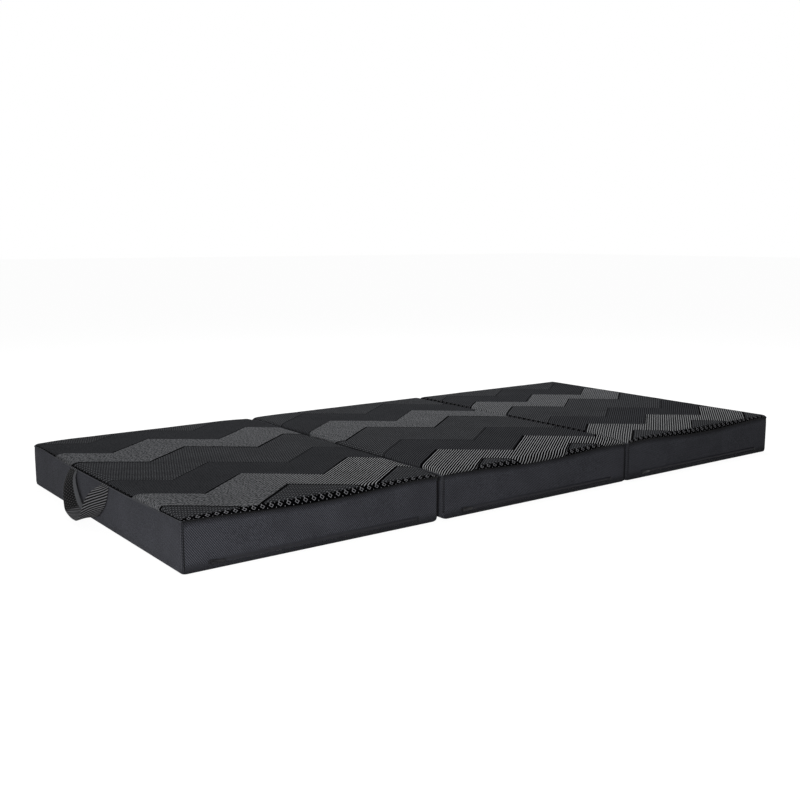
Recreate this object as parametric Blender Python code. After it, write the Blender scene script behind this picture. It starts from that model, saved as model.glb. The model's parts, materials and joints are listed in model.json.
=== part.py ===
"""Three-panel folding mattress: foam slabs in a zipped fabric cover, laid out flat.

Metres, +Z up. The origin is on the floor under the middle panel's centre, X runs along
the mattress from the carrying handle's end, and the zips face -Y.
"""

import math
from dataclasses import dataclass

import bmesh
import bpy
from mathutils import Vector

# Overall size, laid out flat
LENGTH = 1.900
WIDTH = 0.900
THICKNESS = 0.116
PANEL_COUNT = 3

# Open gaps at the two folds: the first folds over, the second folds under
TOP_FOLD_GAP = 0.012
BOTTOM_FOLD_GAP = 0.008

# Clear space between pieces that touch
CLEARANCE = 0.0003

# Cover: a base tray, a side band above it, and a knitted top above the seam
CORNER_RADIUS = 0.008
CORNER_STEPS = 3
COVER_WALL = 0.0025
TRAY_HEIGHT = 0.016
SEAM_HEIGHT = 0.105
SEAM_PULL = 0.0015
BAND_STRAIGHT_SHARE = 0.70
BAND_PULL_STEPS = 3
EDGE_ROUND = 0.005
TOP_FOLD_ROUND = 0.014
BOTTOM_FOLD_ROUND = 0.004
ROUND_STEPS = 3

# Knitted top: a rolled edge, then a low crown
KNIT_EDGE_INSET = 0.0006
KNIT_ROLL = 0.016
KNIT_ROLL_STEPS = 5
CROWN_RISE = 0.0025
CROWN_STEP_SHARES = (0.12, 0.30, 0.55)

# Foam: a firm core under a softer topper
TOPPER_DEPTH = 0.035

# Welts along the top seam and up the corners
WELT_RADIUS = 0.0013
WELT_INSET = 0.0004
WELT_SIDES = 6
CORNER_WELT_RADIUS = 0.0010
CORNER_WELT_ANGLES = (math.radians(22), math.radians(68))

# Zips along the foot of the front side
ZIP_END_DISTANCE = 0.055
ZIP_SLOT_HEIGHT = 0.012
ZIP_TAPE_INSET = 0.0012
COIL_HEIGHT = 0.0050
COIL_DEPTH = 0.0012
COIL_PROUD = 0.0003
STOP_LENGTH = 0.0030
STOP_HEIGHT = 0.0064
SLIDER_LENGTH = 0.012
SLIDER_PLATE = 0.0014
SLIDER_FLANGE = 0.0016
BRIDGE_SPAN = 0.0072
BRIDGE_LEG = 0.0010
BRIDGE_OPENING = 0.0018
BRIDGE_WIDTH = 0.0024
BRIDGE_ROOT = 0.0002
PULL_BAR = 0.0010
PULL_LENGTH = 0.024
PULL_WIDTH = 0.0066
PULL_WINDOW = 0.0046
PULL_TIP_STEPS = 6

# Fabric that joins the panels at the folds
FOLD_STRIP_THICKNESS = 0.0015
TAPE_THICKNESS = 0.0012
TAPE_FLANGE_HEIGHT = 0.0100
TAPE_FLOOR_CLEARANCE = 0.0004

# Carrying handles: loops of wide fabric strap
STRAP_WIDTH = 0.045
STRAP_THICKNESS = 0.0020
HANDLE_HALF_SPAN = 0.100
HANDLE_DEPTH = 0.082
HANDLE_1_OFFSET = 0.040
HANDLE_2_OFFSET = 0.015
HANDLE_TAB_HEIGHT = 0.0050
HANDLE_STATIONS = 40
HANDLE_SIDE_POWER = 1.4
HANDLE_TWIST_SHARE = 0.90
HANDLE_LEAN = math.radians(10)
HANDLE_STAND_OFF = 0.004
TUCKED_ROOT_WIDTH = 0.070
TUCKED_LEG_ANGLE = math.radians(38)

# One overrun serves every cut
CUT_OVERRUN = 0.002

# Heights that follow from the sizes above
BAND_TOP = SEAM_HEIGHT - WELT_RADIUS - CLEARANCE
KNIT_BASE = SEAM_HEIGHT + WELT_RADIUS + CLEARANCE
FOAM_INSET = COVER_WALL + CLEARANCE
TOPPER_TOP = KNIT_BASE - CLEARANCE
TOPPER_BASE = TOPPER_TOP - TOPPER_DEPTH
TOP_AXIS_HEIGHT = THICKNESS + CLEARANCE / 2
BOTTOM_AXIS_HEIGHT = -CLEARANCE / 2
FRONT = -WIDTH / 2

COLOURS = {
    "knit": (0.032, 0.034, 0.036, 1.0),
    "band": (0.020, 0.021, 0.026, 1.0),
    "base": (0.014, 0.014, 0.016, 1.0),
    "welt": (0.035, 0.036, 0.042, 1.0),
    "strap": (0.012, 0.012, 0.013, 1.0),
    "zip": (0.010, 0.010, 0.011, 1.0),
    "core_foam": (0.80, 0.79, 0.72, 1.0),
    "topper_foam": (0.55, 0.68, 0.80, 1.0),
    "zip_metal": (0.080, 0.080, 0.085, 1.0),
}
FABRIC_ROUGHNESS = 0.9
METAL_ROUGHNESS = 0.35


@dataclass(frozen=True)
class Panel:
    """One slab of the mattress, between two planes of constant X, and the empty it hangs on."""

    number: int
    low: float
    high: float
    low_round: float
    high_round: float
    body: bpy.types.Object


def material(name):
    """Return the named material, making it on first use."""
    found = bpy.data.materials.get(name)
    if found:
        return found
    made = bpy.data.materials.new(name)
    made.use_nodes = True
    shader = made.node_tree.nodes["Principled BSDF"]
    metal = name == "zip_metal"
    shader.inputs["Base Color"].default_value = COLOURS[name]
    shader.inputs["Metallic"].default_value = 1.0 if metal else 0.0
    shader.inputs["Roughness"].default_value = METAL_ROUGHNESS if metal else FABRIC_ROUGHNESS
    return made


def world_place(thing):
    """Return where an object's origin lies, adding up the chain of its parents."""
    if thing.parent is None:
        return thing.location.copy()
    return thing.location + world_place(thing.parent)


def add_body(name, place, parent=None):
    """Add an empty at a joint for a rigid body's pieces to hang on."""
    body = bpy.data.objects.new(name, None)
    bpy.context.collection.objects.link(body)
    body.parent = parent
    body.location = place - world_place(parent) if parent else place
    return body


def add_object(name, bm, material_name, parent, origin=None):
    """Turn a bmesh in world coordinates into an object, its origin its parent's or the one given."""
    parent_place = world_place(parent)
    if origin is None:
        origin = parent_place
    bmesh.ops.translate(bm, verts=bm.verts, vec=-origin)
    bmesh.ops.recalc_face_normals(bm, faces=bm.faces)
    mesh = bpy.data.meshes.new(name)
    bm.to_mesh(mesh)
    bm.free()
    mesh.materials.append(material(material_name))
    thing = bpy.data.objects.new(name, mesh)
    thing.parent = parent
    thing.location = origin - parent_place
    bpy.context.collection.objects.link(thing)
    return thing


def add_rings(bm, rings, closed):
    """Skin a row of rings, splitting each four-sided face along its shorter diagonal.

    A closed row joins its last ring to its first, and any other is capped at both ends.
    """
    rows = [[bm.verts.new(point) for point in ring] for ring in rings]
    pairs = list(zip(rows, rows[1:]))
    if closed:
        pairs.append((rows[-1], rows[0]))
    else:
        bm.faces.new(list(reversed(rows[0])))
        bm.faces.new(rows[-1])
    for lower, upper in pairs:
        for i in range(len(lower)):
            j = (i + 1) % len(lower)
            rising = (upper[j].co - lower[i].co).length
            falling = (upper[i].co - lower[j].co).length
            if rising < falling:
                bm.faces.new((lower[i], lower[j], upper[j]))
                bm.faces.new((lower[i], upper[j], upper[i]))
            else:
                bm.faces.new((lower[i], lower[j], upper[i]))
                bm.faces.new((lower[j], upper[j], upper[i]))


def add_prism(bm, outline, axis, start, end):
    """Extrude a flat outline, given in the two other axes in order, along one axis."""
    others = [i for i in range(3) if i != axis]

    def place(point, along):
        spot = [along] * 3
        spot[others[0]], spot[others[1]] = point
        return spot

    add_rings(bm, [[place(p, start) for p in outline], [place(p, end) for p in outline]], False)


def add_box(bm, low, high):
    """Add a box between two corners."""
    outline = [(low[1], low[2]), (high[1], low[2]), (high[1], high[2]), (low[1], high[2])]
    add_prism(bm, outline, 0, low[0], high[0])


def panel_ring(panel, insets, heights, corner=CORNER_RADIUS):
    """Return a panel's outline, drawn in by the insets of its low end, high end and sides.

    Each of those three also has its own height, and the corners pass from one to the other.
    """
    points = []
    for sign_x, sign_y in ((1, -1), (1, 1), (-1, 1), (-1, -1)):
        end = 1 if sign_x > 0 else 0
        edge_x = panel.high - insets[1] if end else panel.low + insets[0]
        edge_y = sign_y * (WIDTH / 2 - insets[2])
        for step in range(CORNER_STEPS + 1):
            turn = step if sign_x * sign_y > 0 else CORNER_STEPS - step
            share = turn / CORNER_STEPS
            angle = share * math.pi / 2
            points.append((
                edge_x - sign_x * corner * (1 - math.cos(angle)),
                edge_y - sign_y * corner * (1 - math.sin(angle)),
                heights[end] * (1 - share) + heights[2] * share,
            ))
    return points


def level_ring(panel, inset, height, corner=CORNER_RADIUS):
    """Return a panel's outline with one inset and one height all round."""
    return panel_ring(panel, (inset,) * 3, (height,) * 3, corner)


def foot_rings(panel, inset, tightening):
    """Return the rings of a foot inset all round, with its rounding tightened from the outside's."""
    radii = [radius - tightening for radius in (panel.low_round, panel.high_round, EDGE_ROUND)]
    rings = []
    for step in range(ROUND_STEPS + 1):
        angle = step / ROUND_STEPS * math.pi / 2
        insets = [inset + radius * (1 - math.sin(angle)) for radius in radii]
        heights = [inset + radius * (1 - math.cos(angle)) for radius in radii]
        rings.append(panel_ring(panel, insets, heights))
    return rings


def make_panels():
    """Return the panels, from the handle's end, each hung on the fold that turns it."""
    pitch = LENGTH / PANEL_COUNT
    folds = [-LENGTH / 2 + pitch * i for i in range(PANEL_COUNT + 1)]
    half_gaps = (0, TOP_FOLD_GAP / 2, BOTTOM_FOLD_GAP / 2, 0)
    rounds = (EDGE_ROUND, TOP_FOLD_ROUND, BOTTOM_FOLD_ROUND, EDGE_ROUND)
    places = (
        Vector((0, 0, 0)),
        Vector((folds[1], 0, TOP_AXIS_HEIGHT)),
        Vector((folds[2], 0, BOTTOM_AXIS_HEIGHT)),
    )
    panels = []
    for i in range(PANEL_COUNT):
        parent = panels[-1].body if panels else None
        body = add_body(f"panel_{i + 1}", places[i], parent)
        low = folds[i] + half_gaps[i]
        high = folds[i + 1] - half_gaps[i + 1]
        panels.append(Panel(i + 1, low, high, rounds[i], rounds[i + 1], body))
    return panels


def make_foam(panel):
    """Make the firm core and the softer topper."""
    core = bmesh.new()
    rings = foot_rings(panel, FOAM_INSET, 0)
    rings.append(level_ring(panel, FOAM_INSET, TOPPER_BASE - CLEARANCE))
    add_rings(core, rings, False)
    add_object(f"foam_core_{panel.number}", core, "core_foam", panel.body)
    topper = bmesh.new()
    add_rings(topper, [level_ring(panel, FOAM_INSET, z) for z in (TOPPER_BASE, TOPPER_TOP)], False)
    add_object(f"foam_topper_{panel.number}", topper, "topper_foam", panel.body)


def make_cover(panel, cutter):
    """Make the base tray, the side band and the knitted top, and cut the zip's slot."""
    tray = bmesh.new()
    rings = foot_rings(panel, 0, 0)
    rings.append(level_ring(panel, 0, TRAY_HEIGHT))
    rings.append(level_ring(panel, COVER_WALL, TRAY_HEIGHT))
    rings += reversed(foot_rings(panel, COVER_WALL, COVER_WALL))
    add_rings(tray, rings, False)
    base = add_object(f"base_tray_{panel.number}", tray, "base", panel.body)
    combine(base, cutter, "DIFFERENCE")

    band = bmesh.new()
    band_foot = TRAY_HEIGHT + CLEARANCE
    straight_top = band_foot + (BAND_TOP - band_foot) * BAND_STRAIGHT_SHARE
    rings = [level_ring(panel, 0, band_foot)]
    for step in range(BAND_PULL_STEPS + 1):
        share = step / BAND_PULL_STEPS
        height = straight_top + (BAND_TOP - straight_top) * share
        rings.append(level_ring(panel, SEAM_PULL * share ** 2, height))
    rings += [level_ring(panel, COVER_WALL, z) for z in (BAND_TOP, band_foot)]
    add_rings(band, rings, True)
    side = add_object(f"side_band_{panel.number}", band, "band", panel.body)
    combine(side, cutter, "DIFFERENCE")

    knit = bmesh.new()
    roll_rise = THICKNESS - CROWN_RISE - KNIT_BASE
    rings = []
    for step in range(KNIT_ROLL_STEPS + 1):
        angle = step / KNIT_ROLL_STEPS * math.pi / 2
        inset = KNIT_EDGE_INSET + KNIT_ROLL * (1 - math.cos(angle))
        rings.append(level_ring(panel, inset, KNIT_BASE + roll_rise * math.sin(angle)))
    half_length = (panel.high - panel.low) / 2
    for share in CROWN_STEP_SHARES:
        rise = math.sin(share / CROWN_STEP_SHARES[-1] * math.pi / 2)
        height = THICKNESS - CROWN_RISE * (1 - rise)
        rings.append(level_ring(panel, KNIT_ROLL + half_length * share, height))
    add_rings(knit, rings, False)
    add_object(f"knit_top_{panel.number}", knit, "knit", panel.body)


def combine(thing, other, operation):
    """Cut another object out of a piece, or join it on, and hide that other object."""
    other.hide_render = True
    other.display_type = "WIRE"
    change = thing.modifiers.new(other.name, "BOOLEAN")
    change.operation = operation
    change.solver = "EXACT"
    change.object = other


def make_welt(panel):
    """Make the cord round the top seam, joined to the pairs of cords up the corners."""
    rings = []
    for side in range(WELT_SIDES):
        angle = 2 * math.pi * side / WELT_SIDES
        inset = WELT_INSET - WELT_RADIUS * math.cos(angle)
        rings.append(level_ring(panel, inset, SEAM_HEIGHT + WELT_RADIUS * math.sin(angle)))
    top = bmesh.new()
    add_rings(top, rings, True)
    welt = add_object(f"welt_{panel.number}", top, "welt", panel.body)

    corners = bmesh.new()
    reach = CORNER_RADIUS + CORNER_WELT_RADIUS + CLEARANCE
    for edge_x, sign_x in ((panel.low, -1), (panel.high, 1)):
        for sign_y in (-1, 1):
            for turn in CORNER_WELT_ANGLES:
                middle_x = edge_x - sign_x * CORNER_RADIUS + sign_x * reach * math.cos(turn)
                middle_y = sign_y * (WIDTH / 2 - CORNER_RADIUS + reach * math.sin(turn))
                outline = regular_outline(middle_x, middle_y, CORNER_WELT_RADIUS, WELT_SIDES)
                add_prism(corners, outline, 2, TRAY_HEIGHT, SEAM_HEIGHT)
    guide = add_object(f"corner_guide_{panel.number}", corners, "welt", panel.body)
    combine(welt, guide, "UNION")


def regular_outline(middle_a, middle_b, radius, sides):
    """Return the corners of a regular outline about a middle point."""
    turns = [2 * math.pi * i / sides for i in range(sides)]
    return [(middle_a + radius * math.cos(t), middle_b + radius * math.sin(t)) for t in turns]


def zip_span(panel):
    """Return where the zip's slot starts and ends along X."""
    return panel.low + ZIP_END_DISTANCE, panel.high - ZIP_END_DISTANCE


def make_slot_cutter(panel):
    """Make the block that cuts the zip's slot."""
    start, end = zip_span(panel)
    bm = bmesh.new()
    low = (start, FRONT - CUT_OVERRUN, TRAY_HEIGHT - ZIP_SLOT_HEIGHT / 2)
    high = (end, FRONT + COVER_WALL + CLEARANCE / 2, TRAY_HEIGHT + ZIP_SLOT_HEIGHT / 2)
    add_box(bm, low, high)
    return add_object(f"slot_cutter_{panel.number}", bm, "zip", panel.body)


def make_zip(panel):
    """Make the zip's tape, coil, end stops, slider and pull."""
    start, end = zip_span(panel)
    number = panel.number
    half_tape = ZIP_SLOT_HEIGHT / 2 - CLEARANCE
    tape = bmesh.new()
    add_box(
        tape,
        (start + CLEARANCE, FRONT + ZIP_TAPE_INSET, TRAY_HEIGHT - half_tape),
        (end - CLEARANCE, FRONT + COVER_WALL, TRAY_HEIGHT + half_tape),
    )
    add_object(f"zip_tape_{number}", tape, "zip", panel.body)

    coil_front = FRONT - COIL_PROUD
    coil_back = coil_front + COIL_DEPTH
    coil_start = start + STOP_LENGTH + 2 * CLEARANCE
    coil_end = end - STOP_LENGTH - 2 * CLEARANCE
    coil = bmesh.new()
    bevel = COIL_DEPTH / 2
    half_coil = COIL_HEIGHT / 2
    outline = [
        (coil_back, TRAY_HEIGHT - half_coil),
        (coil_back, TRAY_HEIGHT + half_coil),
        (coil_front + bevel, TRAY_HEIGHT + half_coil),
        (coil_front, TRAY_HEIGHT + half_coil - bevel),
        (coil_front, TRAY_HEIGHT - half_coil + bevel),
        (coil_front + bevel, TRAY_HEIGHT - half_coil),
    ]
    add_prism(coil, outline, 0, coil_start, coil_end)
    add_object(f"zip_coil_{number}", coil, "zip", panel.body)

    stops = {"start": start + CLEARANCE, "end": end - CLEARANCE - STOP_LENGTH}
    for place, stop_start in stops.items():
        stop = bmesh.new()
        add_box(
            stop,
            (stop_start, coil_front - CLEARANCE, TRAY_HEIGHT - STOP_HEIGHT / 2),
            (stop_start + STOP_LENGTH, coil_back, TRAY_HEIGHT + STOP_HEIGHT / 2),
        )
        add_object(f"zip_stop_{place}_{number}", stop, "zip_metal", panel.body)
    make_slider(panel, coil_start + CLEARANCE + SLIDER_LENGTH / 2, coil_front, coil_back)


def make_slider(panel, middle, coil_front, coil_back):
    """Make the slider that straddles the coil, with its bridge, and the pull under it."""
    origin = Vector((middle, coil_front, TRAY_HEIGHT))
    half_length = SLIDER_LENGTH / 2
    plate_back = coil_front - CLEARANCE
    plate_front = plate_back - SLIDER_PLATE
    inner = COIL_HEIGHT / 2 + CLEARANCE
    outer = inner + SLIDER_FLANGE
    bevel = SLIDER_PLATE / 2
    body = bmesh.new()
    outline = [
        (plate_front + bevel, TRAY_HEIGHT - outer),
        (coil_back, TRAY_HEIGHT - outer),
        (coil_back, TRAY_HEIGHT - inner),
        (plate_back, TRAY_HEIGHT - inner),
        (plate_back, TRAY_HEIGHT + inner),
        (coil_back, TRAY_HEIGHT + inner),
        (coil_back, TRAY_HEIGHT + outer),
        (plate_front + bevel, TRAY_HEIGHT + outer),
        (plate_front, TRAY_HEIGHT + outer - bevel),
        (plate_front, TRAY_HEIGHT - outer + bevel),
    ]
    add_prism(body, outline, 0, middle - half_length, middle + half_length)
    slider = add_object(f"zip_slider_{panel.number}", body, "zip_metal", panel.body, origin)

    half_span = BRIDGE_SPAN / 2
    half_hole = half_span - BRIDGE_LEG
    root = plate_front + BRIDGE_ROOT
    under = plate_front - BRIDGE_OPENING
    crown = under - BRIDGE_LEG
    arch = bmesh.new()
    outline = [
        (middle - half_span, root),
        (middle - half_span, under),
        (middle - half_hole, crown),
        (middle + half_hole, crown),
        (middle + half_span, under),
        (middle + half_span, root),
        (middle + half_hole, root),
        (middle + half_hole, under),
        (middle - half_hole, under),
        (middle - half_hole, root),
    ]
    add_prism(arch, outline, 2, TRAY_HEIGHT - BRIDGE_WIDTH / 2, TRAY_HEIGHT + BRIDGE_WIDTH / 2)
    bridge = add_object(f"bridge_guide_{panel.number}", arch, "zip_metal", slider)
    combine(slider, bridge, "UNION")

    pivot = Vector((middle, plate_front - BRIDGE_OPENING / 2, TRAY_HEIGHT))
    make_pull(panel.number, slider, pivot)


def make_pull(number, slider, pivot):
    """Make the pull: a tongue whose end bar runs under the slider's bridge."""
    half_bar = PULL_BAR / 2
    half_width = PULL_WIDTH / 2
    half_window = BRIDGE_WIDTH / 2 + CLEARANCE
    window_end = pivot.x + half_bar + PULL_WINDOW
    tip = pivot.x + PULL_LENGTH - half_width
    outline = [
        (pivot.x - half_bar, pivot.z - half_width),
        (tip, pivot.z - half_width),
    ]
    for step in range(1, PULL_TIP_STEPS):
        angle = -math.pi / 2 + math.pi * step / PULL_TIP_STEPS
        outline.append((tip + half_width * math.cos(angle), pivot.z + half_width * math.sin(angle)))
    outline += [
        (tip, pivot.z + half_width),
        (pivot.x - half_bar, pivot.z + half_width),
    ]
    bm = bmesh.new()
    add_prism(bm, outline, 1, pivot.y - half_bar, pivot.y + half_bar)
    pull = add_object(f"zip_pull_{number}", bm, "zip_metal", slider, pivot)

    hole = bmesh.new()
    low = (pivot.x + half_bar, pivot.y - PULL_BAR, pivot.z - half_window)
    high = (window_end, pivot.y + PULL_BAR, pivot.z + half_window)
    add_box(hole, low, high)
    window = add_object(f"window_cutter_{number}", hole, "zip_metal", pull)
    combine(pull, window, "DIFFERENCE")


def make_top_fold(left, right):
    """Make the knitted strips that join two panels at the seam, one on each."""
    middle = (left.high + right.low) / 2
    half_run = WIDTH / 2 - CORNER_RADIUS
    welt_proud = WELT_RADIUS - WELT_INSET
    sides = (("left", left.body, left.high, 1), ("right", right.body, right.low, -1))
    for name, body, wall, sign in sides:
        start = wall + sign * (welt_proud + CLEARANCE)
        end = middle - sign * CLEARANCE / 2
        bm = bmesh.new()
        low = (min(start, end), -half_run, SEAM_HEIGHT - FOLD_STRIP_THICKNESS / 2)
        high = (max(start, end), half_run, SEAM_HEIGHT + FOLD_STRIP_THICKNESS / 2)
        add_box(bm, low, high)
        add_object(f"top_fold_{name}", bm, "knit", body)


def make_bottom_fold(left, right):
    """Make the angled tapes that join two panels at the floor, one on each."""
    middle = (left.high + right.low) / 2
    half_run = WIDTH / 2 - CORNER_RADIUS
    foot = TAPE_FLOOR_CLEARANCE
    sides = (("left", left.body, left.high, 1), ("right", right.body, right.low, -1))
    for name, body, wall, sign in sides:
        start = wall + sign * CLEARANCE
        flange = start + sign * TAPE_THICKNESS
        end = middle - sign * CLEARANCE / 2
        outline = [
            (start, foot),
            (end, foot),
            (end, foot + TAPE_THICKNESS),
            (flange, foot + TAPE_THICKNESS),
            (flange, foot + TAPE_FLANGE_HEIGHT),
            (start, foot + TAPE_FLANGE_HEIGHT),
        ]
        bm = bmesh.new()
        add_prism(bm, outline, 1, -half_run, half_run)
        add_object(f"bottom_fold_{name}", bm, "welt", body)


def make_tabs(name, body, walls, foot, width, offset):
    """Make the two sewn ends of a handle, front and back, between two planes of constant X."""
    for place, sign in (("front", -1), ("back", 1)):
        middle = offset + sign * HANDLE_HALF_SPAN
        bm = bmesh.new()
        low = (walls[0], middle - width / 2, foot)
        high = (walls[1], middle + width / 2, foot + HANDLE_TAB_HEIGHT)
        add_box(bm, low, high)
        add_object(f"{name}_tab_{place}", bm, "strap", body)


def make_hanging_handle(panel):
    """Make the strap loop that hangs from the top seam at the panel's low end, and its tabs."""
    wall = panel.low - CLEARANCE
    face = wall - STRAP_THICKNESS
    tab_foot = BAND_TOP - CLEARANCE - HANDLE_TAB_HEIGHT
    make_tabs("handle_1", panel.body, (face, wall), tab_foot, STRAP_WIDTH, HANDLE_1_OFFSET)

    strap_top = tab_foot - CLEARANCE
    path = []
    eases = []
    for step in range(HANDLE_STATIONS + 1):
        angle = math.pi * step / HANDLE_STATIONS
        side = math.copysign(abs(math.cos(angle)) ** HANDLE_SIDE_POWER, math.cos(angle))
        height = strap_top - HANDLE_DEPTH * math.sin(angle)
        path.append(Vector((0, HANDLE_1_OFFSET + HANDLE_HALF_SPAN * side, height)))
        turn = min(step, HANDLE_STATIONS - step) / (HANDLE_STATIONS * HANDLE_TWIST_SHARE / 2)
        turn = min(turn, 1)
        eases.append(turn ** 2 * (3 - 2 * turn))
    rings = []
    for i, spot in enumerate(path):
        if i in (0, HANDLE_STATIONS):
            along = Vector((0, 0, -1 if i == 0 else 1))
        else:
            along = (path[i + 1] - path[i - 1]).normalized()
        lean = math.pi / 2 + (HANDLE_LEAN - math.pi / 2) * eases[i]
        across = Vector((-math.cos(lean), math.sin(lean), 0))
        flat = (across - along * across.dot(along)).normalized() * STRAP_WIDTH / 2
        thick = flat.cross(along).normalized() * STRAP_THICKNESS / 2
        middle = spot.copy()
        middle.x = wall - HANDLE_STAND_OFF * eases[i] - abs(flat.x) - abs(thick.x)
        corners = (-flat - thick, flat - thick, flat + thick, -flat + thick)
        rings.append([middle + corner for corner in corners])
    bm = bmesh.new()
    add_rings(bm, rings, False)
    pivot = Vector((face, HANDLE_1_OFFSET, strap_top + CLEARANCE / 2))
    add_object("handle_1", bm, "strap", panel.body, pivot)


def make_tucked_handle(panel):
    """Make the strap loop folded flat in the crease at the panel's high end, and its tabs."""
    near = panel.high + CLEARANCE
    far = near + STRAP_THICKNESS
    tab_foot = TAPE_FLOOR_CLEARANCE + TAPE_FLANGE_HEIGHT + CLEARANCE
    tab_top = tab_foot + HANDLE_TAB_HEIGHT
    make_tabs("handle_2", panel.body, (near, far), tab_foot, TUCKED_ROOT_WIDTH, HANDLE_2_OFFSET)

    half_root = TUCKED_ROOT_WIDTH / 2
    foot = tab_top + CLEARANCE
    top = foot + HANDLE_DEPTH - HANDLE_TAB_HEIGHT
    slope = math.tan(TUCKED_LEG_ANGLE)
    inner = HANDLE_HALF_SPAN - half_root
    outer = HANDLE_HALF_SPAN + half_root
    flat = outer - (top - foot) / slope
    outline = [
        (HANDLE_2_OFFSET - outer, foot),
        (HANDLE_2_OFFSET - inner, foot),
        (HANDLE_2_OFFSET, foot + inner * slope),
        (HANDLE_2_OFFSET + inner, foot),
        (HANDLE_2_OFFSET + outer, foot),
        (HANDLE_2_OFFSET + flat, top),
        (HANDLE_2_OFFSET - flat, top),
    ]
    bm = bmesh.new()
    add_prism(bm, outline, 0, near, far)
    pivot = Vector((far, HANDLE_2_OFFSET, tab_top + CLEARANCE / 2))
    add_object("handle_2", bm, "strap", panel.body, pivot)


def main():
    """Clear the scene and make the mattress."""
    for thing in list(bpy.data.objects):
        bpy.data.objects.remove(thing, do_unlink=True)
    panels = make_panels()
    for panel in panels:
        make_foam(panel)
        make_cover(panel, make_slot_cutter(panel))
        make_welt(panel)
        make_zip(panel)
    make_top_fold(panels[0], panels[1])
    make_bottom_fold(panels[1], panels[2])
    make_hanging_handle(panels[0])
    make_tucked_handle(panels[1])


main()
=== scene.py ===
"""Dresses the three-panel folding mattress: knit tops, twill sides, piping, zips and straps."""

import json
import logging
import math
from dataclasses import dataclass
from enum import Enum
from functools import partial
from typing import Callable

import bmesh
import bpy
import numpy as np
from bpy.types import Material, Node, NodeSocket, NodeTree, Object
from mathutils import Matrix, Vector

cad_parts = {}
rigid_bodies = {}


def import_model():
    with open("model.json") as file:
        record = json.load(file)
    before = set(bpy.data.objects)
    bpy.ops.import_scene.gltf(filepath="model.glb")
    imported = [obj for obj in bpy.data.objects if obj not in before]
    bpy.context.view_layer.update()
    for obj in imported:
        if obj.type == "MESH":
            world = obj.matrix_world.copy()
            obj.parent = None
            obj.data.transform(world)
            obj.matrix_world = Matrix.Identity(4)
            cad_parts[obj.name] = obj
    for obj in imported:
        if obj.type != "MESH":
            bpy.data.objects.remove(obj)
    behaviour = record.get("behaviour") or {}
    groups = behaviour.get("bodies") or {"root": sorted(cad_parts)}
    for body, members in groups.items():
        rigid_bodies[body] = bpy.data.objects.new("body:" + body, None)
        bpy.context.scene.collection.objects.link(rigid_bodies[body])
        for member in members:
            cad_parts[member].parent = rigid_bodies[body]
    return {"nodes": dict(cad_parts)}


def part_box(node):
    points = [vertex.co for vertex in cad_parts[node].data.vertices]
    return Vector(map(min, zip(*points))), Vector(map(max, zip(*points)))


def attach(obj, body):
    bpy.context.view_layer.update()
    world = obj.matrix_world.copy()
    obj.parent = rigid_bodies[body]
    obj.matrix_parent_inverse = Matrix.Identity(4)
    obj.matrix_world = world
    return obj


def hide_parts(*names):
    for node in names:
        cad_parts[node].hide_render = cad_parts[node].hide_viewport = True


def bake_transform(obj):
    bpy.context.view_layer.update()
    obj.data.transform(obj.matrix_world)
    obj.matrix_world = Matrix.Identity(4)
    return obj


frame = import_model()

LOG = logging.getLogger("mattress")
MM = 0.001
# How far the strap's inner face lies beside its outer face in the Fabric map
INNER_FACE = 100 * MM
Add = Callable[..., Node]
Look = dict[str, object]
Pair = tuple[float, float]
Triple = tuple[float, float, float]


def linear(colour: str) -> tuple[float, float, float, float]:
    """Turn an sRGB hex colour into linear light.

    Args:
        colour: Six hex digits after a hash.

    Returns:
        Red, green, blue and alpha for a shader socket.
    """
    parts = [int(colour[i:i + 2], 16) / 255 for i in (1, 3, 5)]
    red, green, blue = (c / 12.92 if c <= 0.04045 else ((c + 0.055) / 1.055) ** 2.4 for c in parts)
    return red, green, blue, 1.0


def feed(tree: NodeTree, socket: NodeSocket, given: object) -> None:
    """Link or set one shader input.

    Args:
        tree: The node tree that takes the link.
        socket: The input.
        given: A node, a socket, a value, or None to leave the input alone.
    """
    if isinstance(given, Node):
        given = next(s for s in given.outputs if s.enabled)
    if isinstance(given, NodeSocket):
        tree.links.new(given, socket)
    elif given is not None:
        socket.default_value = given


def add_node(tree: NodeTree, kind: str, *inputs: object, **settings: object) -> Node:
    """Add one shader node with its settings, values and links.

    Args:
        tree: The node tree that takes the node.
        kind: The type without its ShaderNode prefix, and its operation or data type if it has one.
            For a Math node, its operation alone.
        inputs: What goes to the shown inputs, in order.
        settings: The node's other properties, set before its inputs.

    Returns:
        The new node.
    """
    title, *mode = ("Math", kind) if kind.isupper() else kind.split()
    node = tree.nodes.new("ShaderNode" + title)
    for word in mode:
        setattr(node, "data_type" if title == "Mix" else "operation", word)
    for key, value in settings.items():
        setattr(node, key, value)
    for socket, given in zip([s for s in node.inputs if s.enabled], inputs):
        feed(tree, socket, given)
    return node


def smooth(share: np.ndarray) -> np.ndarray:
    """Ease a share between 0 and 1."""
    share = np.clip(share, 0.0, 1.0)
    return share * share * (3 - 2 * share)


def drawn_in(share: float) -> float:
    """Return how far the seam draws a wall in: nothing up to 0.7 of its height, 1 at the top."""
    return max(0.0, (share - 0.7) / 0.3) ** 2


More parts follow.
